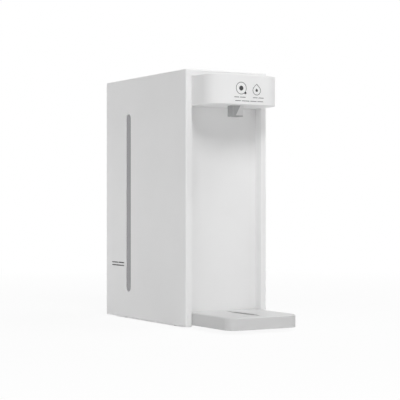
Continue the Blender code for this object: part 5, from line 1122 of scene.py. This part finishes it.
class DISPENSER_OT_tank(bpy.types.Operator):
    """Clear tank, open at the top, with its port"""
    bl_idname = "dispenser.tank"
    bl_label = "Tank"

    def execute(self, context):
        low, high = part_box("tank_body")
        tank = bar("tank_vessel", low, high, upright, TANK_CORNER_R)
        round_edges(tank, lambda middle, run: middle.z < low.z + SINK, TANK_FOOT_R, MID_EDGE_STEPS)
        hollow(tank, lambda middle, normal: normal.z > ALONG, TANK_WALL)
        mid_y = (low.y + high.y) / 2
        bore(tank, (0, mid_y, low.z), (0, mid_y, low.z + TANK_WALL), PORT_R)
        finish(tank, "tank", "clear_tank", "tank_body")
        return {'FINISHED'}


class DISPENSER_OT_collar(bpy.types.Operator):
    """Collar on the tank's rim with its mouth, grip bar, hinge ears and hinge pin"""
    bl_idname = "dispenser.collar"
    bl_label = "Tank collar"

    def execute(self, context):
        low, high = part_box("tank_body")
        lid_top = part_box("tank_lid")[1].z
        foot, top = high.z + SEAT_GAP, lid_top - LID_T - SEAT_GAP
        hinge_y, hinge_z = high.y - LID_T / 2, lid_top - LID_T / 2
        collar = bar("tank_collar_ring", *wider(low, high, 0, foot, top),
                     front_upright((low.y + high.y) / 2), TANK_CORNER_R)
        fit = TANK_WALL + SEAT_GAP
        inner = fit + COLLAR_LIP_T
        lip = bar("lip", *wider(low, high, -fit, foot - COLLAR_LIP, foot + SINK),
                  upright, TANK_CORNER_R - TANK_WALL)
        carve(lip, bar("core", *wider(low, high, -inner, foot - COLLAR_LIP - PAST, foot + PAST),
                       upright, TANK_CORNER_R - inner))
        fuse(collar, lip)
        mouth_x = high.x - MOUTH_INSET
        mouth_y, mouth_back_y = low.y + MOUTH_INSET, high.y - MOUTH_REAR_INSET
        carve(collar, bar("mouth", (-mouth_x, mouth_y, foot - PAST), (mouth_x, mouth_back_y, top + PAST),
                          upright, MOUTH_R))
        grip_y = (mouth_y + mouth_back_y) / 2
        fuse(collar, bar("grip", (-mouth_x - SINK, grip_y - GRIP_HALF_W, foot + SEAT_GAP),
                         (mouth_x + SINK, grip_y + GRIP_HALF_W, foot + GRIP_T), along_x, GRIP_R))
        for side in SIDES:
            x = side * EAR_X
            fuse(collar, bar("ear", (x - EAR_HALF_W, hinge_y - EAR_R, top - SINK),
                             (x + EAR_HALF_W, hinge_y + EAR_R, hinge_z + EAR_R),
                             lambda middle, run: along_x(middle, run) and middle.z > hinge_z,
                             EAR_R - END_FLAT))
        pin_low, pin_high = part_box("lid_hinge_pin")
        end, reach = (pin_low.x, hinge_y, hinge_z), (pin_high.x - pin_low.x, 0, 0)
        carve(collar, drum("pin_hole", end, reach, PIN_R + SEAT_GAP, SMALL_ROUND))
        finish(collar, "tank", "grey_abs", "tank_collar")
        pin = drum("hinge_rod", end, reach, PIN_R, SMALL_ROUND)
        finish(pin, "tank", "steel", "lid_hinge_pin", fine=FINER)
        return {'FINISHED'}


class DISPENSER_OT_lid(bpy.types.Operator):
    """Flush lid with a round rear edge, a skirt and a nail groove"""
    bl_idname = "dispenser.lid"
    bl_label = "Lid"

    def execute(self, context):
        low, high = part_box("tank_lid")
        lid_z = high.z - LID_T
        hinge_y, hinge_z = high.y - LID_T / 2, high.z - LID_T / 2
        lid = bar("tank_cover", (low.x, low.y, lid_z), high,
                  front_upright((low.y + high.y) / 2), TANK_CORNER_R)
        round_edges(lid, lambda middle, run: along_x(middle, run) and middle.y > high.y - SINK,
                    LID_T / 2 - SINK / 2)
        inset_by, corner = MOUTH_INSET + LID_GAP, MOUTH_R - LID_GAP
        inner = inset_by + LID_SKIRT_T
        back_y = high.y - MOUTH_REAR_INSET - LID_GAP
        skirt = bar("skirt", (low.x + inset_by, low.y + inset_by, low.z),
                    (high.x - inset_by, back_y, lid_z + SINK), upright, corner)
        carve(skirt, bar("core", (low.x + inner, low.y + inner, low.z - PAST),
                         (high.x - inner, back_y - LID_SKIRT_T, lid_z), upright, corner - LID_SKIRT_T))
        fuse(lid, skirt)
        notch = EAR_HALF_W + RUN_GAP
        for side in SIDES:
            x = side * EAR_X
            carve(lid, bar("notch", (x - notch, hinge_y - EAR_R - RUN_GAP, lid_z - PAST),
                           (x + notch, high.y + PAST, high.z + PAST)))
        end_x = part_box("lid_hinge_pin")[0].x - SEAT_GAP
        carve(lid, drum("pin_hole", (end_x, hinge_y, hinge_z), (high.x + PAST - end_x, 0, 0),
                        PIN_R + SEAT_GAP, SMALL_ROUND),
              bar("nail", (-NAIL_HALF_W, low.y - PAST, lid_z - PAST),
                  (NAIL_HALF_W, low.y + NAIL_D, lid_z + NAIL_H)))
        finish(lid, "tank_lid", "white_abs", "tank_lid")
        return {'FINISHED'}


class DISPENSER_OT_valve(bpy.types.Operator):
    """Tank valve: its tube with thread, groove and guide bar, its nut, and its stem with the sealing disc"""
    bl_idname = "dispenser.valve"
    bl_label = "Tank valve"

    def execute(self, context):
        low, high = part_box("valve_body")
        mid_y = (low.y + high.y) / 2
        self.tube(low, high, mid_y, context.scene.dispenser_shape.fine_edge)
        self.nut(mid_y)
        self.stem(mid_y)
        return {'FINISHED'}

    def tube(self, low, high, mid_y, edge):
        """Tube with its flange, thread, ring groove and port, and the bar that guides the stem."""
        height = high.z - low.z
        flange = height - VALVE_FLANGE_T
        ring_low, ring_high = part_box("valve_o_ring")
        groove_low, groove_top = ring_low.z - low.z - SEAT_GAP, ring_high.z - low.z + SEAT_GAP
        groove_r = VALVE_TUBE_R - GROOVE_DEPTH
        rings = [(VALVE_BORE_R, height), *rounded(high.x, height, edge, False), (high.x, flange),
                 (VALVE_TUBE_R, flange)]
        thread = flange - THREAD_PITCH * 2
        while thread > groove_top + THREAD_PITCH:
            rings += [(VALVE_TUBE_R, thread), (VALVE_TUBE_R - THREAD_DEPTH, thread - THREAD_PITCH / 2)]
            thread -= THREAD_PITCH
        rings += [(VALVE_TUBE_R, groove_top), (groove_r, groove_top), (groove_r, groove_low),
                  (VALVE_TUBE_R, groove_low), (VALVE_TUBE_R, edge), (VALVE_TUBE_R - edge, 0),
                  (VALVE_PORT_R, 0), (VALVE_PORT_R, VALVE_WEB_T), (VALVE_BORE_R, VALVE_WEB_T)]
        tube = turned("valve_tube", rings, (0, mid_y, low.z), pierced=True)
        bar_z = high.z - VALVE_BAR_T
        reach = VALVE_BORE_R + SINK
        fuse(tube, bar("guide", (-reach, mid_y - VALVE_BAR_HALF_W, bar_z),
                       (reach, mid_y + VALVE_BAR_HALF_W, high.z - END_FLAT)),
             drum("hub", (0, mid_y, bar_z), (0, 0, VALVE_BAR_T - END_FLAT), GUIDE_HUB_R, SMALL_ROUND))
        bore(tube, (0, mid_y, bar_z), (0, mid_y, high.z), STEM_R + SEAT_GAP, SMALL_ROUND)
        finish(tube, "tank", "nylon", "valve_body", fine=0)

    def nut(self, mid_y):
        """Hexagon nut with its corners turned off above and below."""
        low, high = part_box("valve_nut")
        foot, thickness = (0, mid_y, low.z), high.z - low.z
        nut = drum("valve_clamp", foot, (0, 0, thickness), NUT_R, HEXAGON)
        flat_r = NUT_R - NUT_CHAMFER * 2
        blank = [(flat_r, 0), (NUT_R, NUT_CHAMFER), (NUT_R, thickness - NUT_CHAMFER), (flat_r, thickness)]
        combine(nut, 'INTERSECT', [turned("blank", blank, foot)])
        bore(nut, foot, (0, mid_y, high.z), VALVE_TUBE_R + SEAT_GAP)
        finish(nut, "tank", "nylon", "valve_nut", fine=0)

    def stem(self, mid_y):
        """Stem with a sealing disc near its foot."""
        low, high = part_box("valve_stem")
        disc_z = low.z + STEM_TIP
        rings = [*rounded(STEM_R, -STEM_TIP, STEM_EDGE, True), (STEM_R, 0),
                 *rounded(high.x, 0, STEM_EDGE, True), *rounded(high.x, DISC_T, STEM_EDGE, False),
                 (STEM_R, DISC_T), *rounded(STEM_R, high.z - disc_z, STEM_EDGE, False)]
        stem = turned("valve_plunger", rings, (0, mid_y, disc_z), sides=SMALL_ROUND)
        finish(stem, "tank", "acetal_blue", "valve_stem", fine=0)


class DISPENSER_OT_strainer(bpy.types.Operator):
    """Slotted cup over the tank valve"""
    bl_idname = "dispenser.strainer"
    bl_label = "Strainer"

    def execute(self, context):
        low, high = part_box("tank_strainer")
        radius, height = high.x, high.z - low.z
        inner, core = radius - STRAINER_T, radius * STRAINER_CORE
        roof, groove = height - STRAINER_T, height - STRAINER_GROOVE_D
        cup = turned("strainer_cup", [
            (core, roof), (inner, roof), (inner, 0),
            *rounded(radius, 0, SINK, True), *rounded(radius, height, STRAINER_EDGE_R, False),
            (radius * GROOVE_OUTER, height), (radius * GROOVE_OUTER, groove),
            (radius * GROOVE_INNER, groove), (radius * GROOVE_INNER, height), (core, height)], (0, 0, low.z))
        slot_z = low.z + (height - STRAINER_SLOT_H) / 2
        for index in range(STRAINER_SLOT_COUNT):
            slot = bar("slot", (-radius - PAST, -STRAINER_SLOT_HALF_W, slot_z),
                       (radius + PAST, STRAINER_SLOT_HALF_W, slot_z + STRAINER_SLOT_H))
            carve(cup, put(slot, (0, 0, 0), (0, 0, math.pi * (index + 0.5) / STRAINER_SLOT_COUNT)))
        put(cup, (0, (low.y + high.y) / 2, 0))
        finish(cup, "tank", "acetal_blue", "tank_strainer", fine=0)
        return {'FINISHED'}


class DISPENSER_OT_spout(bpy.types.Operator):
    """Silicone spout with a rounded lip, a collar and a ribbed barb towards the hose"""
    bl_idname = "dispenser.spout"
    bl_label = "Spout"

    def execute(self, context):
        low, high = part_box("spout_elbow")
        mid_y = low.y + SPOUT_COLLAR_R
        seat_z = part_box("nozzle_shroud")[1].z + SEAT_GAP
        top, barb_z = high.z - seat_z, SPOUT_COLLAR_T + BARB_RISE
        lip = rounded(SPOUT_R, low.z - seat_z, SPOUT_LIP_R, True)
        inner_lip = [(SPOUT_R - radius + SPOUT_BORE_R, height) for radius, height in reversed(lip)]
        spout = turned("spout_tip", [
            (SPOUT_CAP_R, barb_z), (SPOUT_BORE_R, barb_z), *inner_lip, *lip, (SPOUT_R, 0),
            *rounded(SPOUT_COLLAR_R, 0, STEM_EDGE, True),
            *rounded(SPOUT_COLLAR_R, SPOUT_COLLAR_T, STEM_EDGE, False), (SPOUT_R, SPOUT_COLLAR_T),
            *rounded(SPOUT_R, top, SPOUT_LIP_R, False), (SPOUT_CAP_R, top)], (0, mid_y, seat_z))
        root = SPOUT_R - BARB_SINK
        length = high.y - mid_y - root
        rib = length / BARB_COUNT
        barb = [(BARB_VALLEY_R, 0)]
        for index in range(BARB_COUNT):
            barb += [(BARB_R, rib * (index + BARB_WIDEST)), (BARB_VALLEY_R, rib * (index + 1))]
        fuse(spout, turned("barb", barb, (0, mid_y + root, seat_z + barb_z), (0, 1, 0), SMALL_ROUND))
        carve(spout, drum("barb_bore", (0, mid_y, seat_z + barb_z), (0, SPOUT_R + length + PAST, 0),
                          BARB_BORE_R, SMALL_ROUND))
        finish(spout, "housing", "silicone", "spout_elbow", fine=0)
        return {'FINISHED'}


# Rear and base

def pan_screws(name, node_name, seat, run):
    """A left and a right pan-head screw with a cross recess, their heads above the seat."""
    x, y, z = seat
    dome = rounded(SCREW_HEAD_R, SCREW_HEAD_T, SCREW_HEAD_T * SCREW_DOME, False)
    head = [(SCREW_R, SCREW_L), (SCREW_R, 0), (SCREW_HEAD_R, 0),
            *((radius, -height) for radius, height in dome)]
    for side, hand in HANDS:
        screw = turned(name + hand, head, (0, 0, 0), sides=SMALL_ROUND)
        for half_x, half_y in ((CROSS_L, CROSS_W), (CROSS_W, CROSS_L)):
            carve(screw, bar("cross", (-half_x, -half_y, -SCREW_HEAD_T - PAST),
                             (half_x, half_y, CROSS_DEPTH - SCREW_HEAD_T)))
        put(screw, (side * x, y, z), facing(run))
        finish(screw, "housing", "steel", node_name + hand, fine=0)


class DISPENSER_OT_rear_panel(bpy.types.Operator):
    """Rear panel with its ears beside the tank rim, vents, cord gland and two screws"""
    bl_idname = "dispenser.rear_panel"
    bl_label = "Rear panel"

    def execute(self, context):
        low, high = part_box("rear_panel")
        panel = bar("back_cover", low, high)
        rim_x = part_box("tank_lid")[1].x + LID_GAP + RIM_T + SEAT_GAP
        ear_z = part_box("housing_shell")[1].z - WALL - SEAT_GAP
        for side in SIDES:
            left, right = sorted((side * rim_x, side * high.x))
            fuse(panel, bar("ear", (left, low.y, high.z - SINK), (right, high.y, ear_z)))
        for index in range(REAR_VENT_COUNT):
            x = REAR_VENT_FIRST_X + REAR_VENT_PITCH * index
            carve(panel, bar("vent", (x, low.y - PAST, REAR_VENT_LOW_Z),
                             (x + VENT_W, high.y + PAST, REAR_VENT_HIGH_Z),
                             along_y, VENT_W / 2 - END_FLAT, WIDE_EDGE_STEPS))
        bore(panel, (GLAND_X, low.y, GLAND_Z), (GLAND_X, high.y, GLAND_Z), GLAND_HOLE_R)
        for side in SIDES:
            x = side * POST_X
            bore(panel, (x, low.y, POST_SCREW_Z), (x, high.y, POST_SCREW_Z), SCREW_R + SEAT_GAP, SMALL_ROUND)
        finish(panel, "housing", "white_abs", "rear_panel")
        face_y = high.y + SEAT_GAP
        gland = turned("cord_bushing", [
            (GLAND_BORE_R, GLAND_FLANGE_T), (GLAND_FLANGE_R - GLAND_ROUND, GLAND_FLANGE_T),
            (GLAND_FLANGE_R, GLAND_FLANGE_T - GLAND_ROUND), (GLAND_FLANGE_R, 0), (GLAND_R, 0),
            (GLAND_R, -GLAND_L), (GLAND_BORE_R, -GLAND_L)], (GLAND_X, face_y, GLAND_Z), (0, 1, 0),
            pierced=True)
        finish(gland, "housing", "rubber_black", "cord_gland")
        pan_screws("back_screw_", "rear_screw_", (POST_X, face_y, POST_SCREW_Z), (0, -1, 0))
        return {'FINISHED'}


class DISPENSER_OT_base(bpy.types.Operator):
    """Base plate with its vents and posts, four feet and two screws"""
    bl_idname = "dispenser.base"
    bl_label = "Base"

    def execute(self, context):
        low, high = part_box("base_plate")
        top_z = high.z - POST_H
        post_y = high.y - POST_HALF_W * 2
        hole_r = SCREW_R + SEAT_GAP
        plate = bar("bottom_plate", low, (high.x, high.y, top_z))
        for side in SIDES:
            x = side * POST_X
            fuse(plate, bar("post", (x - POST_HALF_W, post_y, top_z - SINK),
                            (x + POST_HALF_W, high.y, high.z)))
            bore(plate, (x, post_y, POST_SCREW_Z), (x, high.y, POST_SCREW_Z), hole_r, SMALL_ROUND)
            x = side * BASE_SCREW_X
            self.recess(plate, (x, BASE_SCREW_Y, low.z), SCREW_RECESS, SCREW_HEAD_R, SMALL_ROUND)
            carve(plate, drum("screw_hole", (x, BASE_SCREW_Y, low.z), (0, 0, top_z - low.z + PAST), hole_r,
                              SMALL_ROUND))
        for index in range(VENT_COUNT):
            x = VENT_FIRST_X + VENT_PITCH * index
            carve(plate, bar("vent", (x, VENT_LOW_Y, low.z - PAST), (x + VENT_W, VENT_HIGH_Y, top_z + PAST),
                             upright, VENT_W / 2 - END_FLAT, WIDE_EDGE_STEPS))
        for end in ("front", "rear"):
            foot_low, foot_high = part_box("foot_" + end + "_left")
            y = (foot_low.y + foot_high.y) / 2
            rings = [(FOOT_DIMPLE_R, FOOT_DIMPLE), (FOOT_DIMPLE_R + FOOT_DIMPLE, 0),
                     (FOOT_R - FOOT_CHAMFER, 0), (FOOT_R, FOOT_CHAMFER), (FOOT_R, foot_high.z)]
            for side, hand in HANDS:
                self.recess(plate, (side * FOOT_X, y, low.z), FOOT_RECESS, FOOT_R, ROUND)
                foot = turned(f"pad_{end}_{hand}", rings, (side * FOOT_X, y, 0), sides=SMALL_ROUND)
                finish(foot, "housing", "rubber_black", f"foot_{end}_{hand}", fine=0)
        finish(plate, "housing", "white_abs", "base_plate")
        pan_screws("bottom_screw_", "base_screw_",
                   (BASE_SCREW_X, BASE_SCREW_Y, low.z + SCREW_RECESS - SEAT_GAP), (0, 0, 1))
        return {'FINISHED'}

    def recess(self, plate, place, depth, radius, sides):
        """Sink a round recess with its clearance into the sole of the plate."""
        x, y, z = place
        carve(plate, drum("recess", (x, y, z - PAST), (0, 0, PAST + depth), radius + SEAT_GAP, sides))


# Carried-over nodes

class DISPENSER_OT_inner_parts(bpy.types.Operator):
    """Finishes of the parts that keep their CAD shape"""
    bl_idname = "dispenser.inner_parts"
    bl_label = "Inner parts"

    def execute(self, context):
        slots = {part["node"]: part["material_slot"] for part in frame["record"]["subparts"]}
        for name, obj in frame["nodes"].items():
            look = materials()[FINISH_BY_SLOT[slots[name]]]
            if not obj.data.materials:
                obj.data.materials.append(look)
            for held in obj.material_slots:
                held.material = look
        return {'FINISHED'}


# Stage

def seen_rays(tree):
    """One for rays from the camera, a gloss or a glass."""
    path = node(tree, 'ShaderNodeLightPath').outputs
    gloss = node(tree, 'ShaderNodeMath', links={0: path["Is Camera Ray"], 1: path["Is Glossy Ray"]},
                 operation='MAXIMUM')
    return node(tree, 'ShaderNodeMath', links={0: gloss, 1: path["Is Transmission Ray"]}, operation='MAXIMUM')


class DISPENSER_OT_stage(bpy.types.Operator):
    """Pale floor, white surround, soft lamps and the camera"""
    bl_idname = "dispenser.stage"
    bl_label = "Stage"

    def execute(self, context):
        scene = context.scene
        stage = scene.dispenser_stage
        bare()
        bpy.ops.mesh.primitive_plane_add(size=FLOOR_SIZE, location=(0, 0, 0))
        floor = settle("floor")
        floor.data.materials.append(self.floor_material(stage))
        scene.world = self.surround(stage.world_level)
        for name, place, size, power in (("key_lamp", KEY_PLACE, KEY_SIZE, stage.key_power),
                                         ("high_lamp", HIGH_PLACE, SOFT_SIZE, stage.high_power),
                                         ("left_lamp", LEFT_PLACE, SOFT_SIZE, stage.left_power),
                                         ("rear_lamp", REAR_PLACE, REAR_SIZE, stage.rear_power)):
            bare()
            turn = (Vector(LAMP_AIM) - Vector(place)).to_track_quat('-Z', 'Y').to_euler()
            bpy.ops.object.light_add(type='AREA', location=place, rotation=turn)
            lamp = bpy.context.object
            lamp.name = name
            lamp.data.size = size
            lamp.data.energy = power
            lamp.visible_camera = False
            lamp.visible_glossy = name != "rear_lamp"
        bare()
        bpy.ops.object.camera_add(location=stage.camera_place, rotation=(math.pi / 2, 0, stage.camera_turn))
        camera = bpy.context.object
        camera.name = "camera"
        camera.data.lens = stage.lens
        camera.data.sensor_width = SENSOR_MM
        camera.data.shift_y = stage.shift
        scene.camera = camera
        scene.view_settings.view_transform = 'Standard'
        return {'FINISHED'}

    def floor_material(self, stage):
        """Painted board, seen as nearly white with the object's shadow left in it, and clear from below."""
        material, tree, place = start("painted_board_pale")
        paint = node(tree, 'ShaderNodeBsdfDiffuse',
                     links={"Color": tinted(tree, place, 400, 2, tuple(stage.floor), 0.01)})
        white = node(tree, 'ShaderNodeEmission', {"Strength": 1.0})
        away = node(tree, 'ShaderNodeVectorMath', links={0: place}, operation='LENGTH').outputs["Value"]
        near = node(tree, 'ShaderNodeMapRange', {"From Min": WHITE_FROM, "From Max": WHITE_TO,
                                                 "To Min": stage.floor_white, "To Max": 1.0}, {"Value": away})
        whiter = node(tree, 'ShaderNodeMath', links={0: near, 1: self.outside_band(tree, place)},
                      operation='MULTIPLY')
        share = node(tree, 'ShaderNodeMath', links={0: seen_rays(tree), 1: whiter}, operation='MULTIPLY')
        mixed = node(tree, 'ShaderNodeMixShader', links={0: share, 1: paint, 2: white})
        below = node(tree, 'ShaderNodeNewGeometry').outputs["Backfacing"]
        clear = node(tree, 'ShaderNodeBsdfTransparent')
        sided = node(tree, 'ShaderNodeMixShader', links={0: below, 1: mixed, 2: clear})
        node(tree, 'ShaderNodeOutputMaterial', links={"Surface": sided})
        return material

    def outside_band(self, tree, place):
        """Less than one in a band under the sides and the rear, and one elsewhere: the gap stays grey."""
        low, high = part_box("housing_shell")
        outside = self.beyond(tree, place, low + Vector((BAND_FROM, BAND_START, 0)),
                              high - Vector((BAND_FROM, BAND_FROM, 0)))
        past_band = self.beyond(tree, place, low + Vector((BAND_TO, -BAND_TO, 0)),
                                high - Vector((BAND_TO, BAND_TO, 0)))
        inside = node(tree, 'ShaderNodeMath', {0: 1.0}, {1: past_band}, operation='SUBTRACT')
        either = node(tree, 'ShaderNodeMath', links={0: outside, 1: inside}, operation='MAXIMUM')
        return node(tree, 'ShaderNodeMath', {1: BAND_LEVEL}, {0: either}, operation='MAXIMUM')

    def beyond(self, tree, place, low, high):
        """One outside a rectangle and nought inside it, with a soft edge."""
        centre = node(tree, 'ShaderNodeVectorMath', {1: (low + high) / 2}, {0: place}, operation='SUBTRACT')
        reach = node(tree, 'ShaderNodeVectorMath', links={0: centre}, operation='ABSOLUTE')
        axes = node(tree, 'ShaderNodeSeparateXYZ', links={0: reach}).outputs
        past_x, past_y = (node(tree, 'ShaderNodeMapRange', {"From Min": half - EDGE_BLUR, "From Max": half},
                               {"Value": axes[axis]})
                          for axis, half in (("X", (high.x - low.x) / 2), ("Y", (high.y - low.y) / 2)))
        return node(tree, 'ShaderNodeMath', links={0: past_x, 1: past_y}, operation='MAXIMUM')

    def surround(self, level):
        """White for what the camera, gloss and glass see, and an even grey light for the rest."""
        world = bpy.data.worlds.new("surround")
        tree = empty_tree(world)
        light, white = (node(tree, 'ShaderNodeBackground', {"Color": (1, 1, 1, 1), "Strength": strength})
                        for strength in (level, 1.0))
        mixed = node(tree, 'ShaderNodeMixShader', links={0: seen_rays(tree), 1: light, 2: white})
        node(tree, 'ShaderNodeOutputWorld', links={"Surface": mixed})
        return world


# Panel and registration

GROUPS = (
    ("dispenser_shape", DispenserShape),
    ("dispenser_colours", DispenserColours),
    ("dispenser_stage", DispenserStage),
)
STEPS = (
    DISPENSER_OT_housing,
    DISPENSER_OT_level_window,
    DISPENSER_OT_head,
    DISPENSER_OT_nozzle,
    DISPENSER_OT_control_panel,
    DISPENSER_OT_head_print,
    DISPENSER_OT_side_print,
    DISPENSER_OT_key_print,
    DISPENSER_OT_drip_tray,
    DISPENSER_OT_spout,
    DISPENSER_OT_tank,
    DISPENSER_OT_valve,
    DISPENSER_OT_strainer,
    DISPENSER_OT_collar,
    DISPENSER_OT_lid,
    DISPENSER_OT_rear_panel,
    DISPENSER_OT_base,
    DISPENSER_OT_inner_parts,
    DISPENSER_OT_stage,
)


class DISPENSER_PT_build(bpy.types.Panel):
    """Lists the settings and the steps of the build"""
    bl_idname = "DISPENSER_PT_build"
    bl_label = "Hot water dispenser"
    bl_space_type = 'VIEW_3D'
    bl_region_type = 'UI'
    bl_category = "Dispenser"

    def draw(self, context):
        for name, group in GROUPS:
            box = self.layout.box()
            for key in group.__annotations__:
                box.prop(getattr(context.scene, name), key)
        for step in STEPS:
            self.layout.operator(step.bl_idname)


def register():
    """Register the settings, steps and panel."""
    for name, group in GROUPS:
        bpy.utils.register_class(group)
        setattr(bpy.types.Scene, name, PointerProperty(type=group))
    for kind in (*STEPS, DISPENSER_PT_build):
        bpy.utils.register_class(kind)


def unregister():
    """Take back all that register adds."""
    for kind in reversed((*STEPS, DISPENSER_PT_build)):
        bpy.utils.unregister_class(kind)
    for name, group in reversed(GROUPS):
        delattr(bpy.types.Scene, name)
        bpy.utils.unregister_class(group)


def main():
    """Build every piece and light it."""
    register()
    for step in STEPS:
        getattr(bpy.ops.dispenser, step.bl_idname.split(".")[1])()


if __name__ == "__main__":
    main()
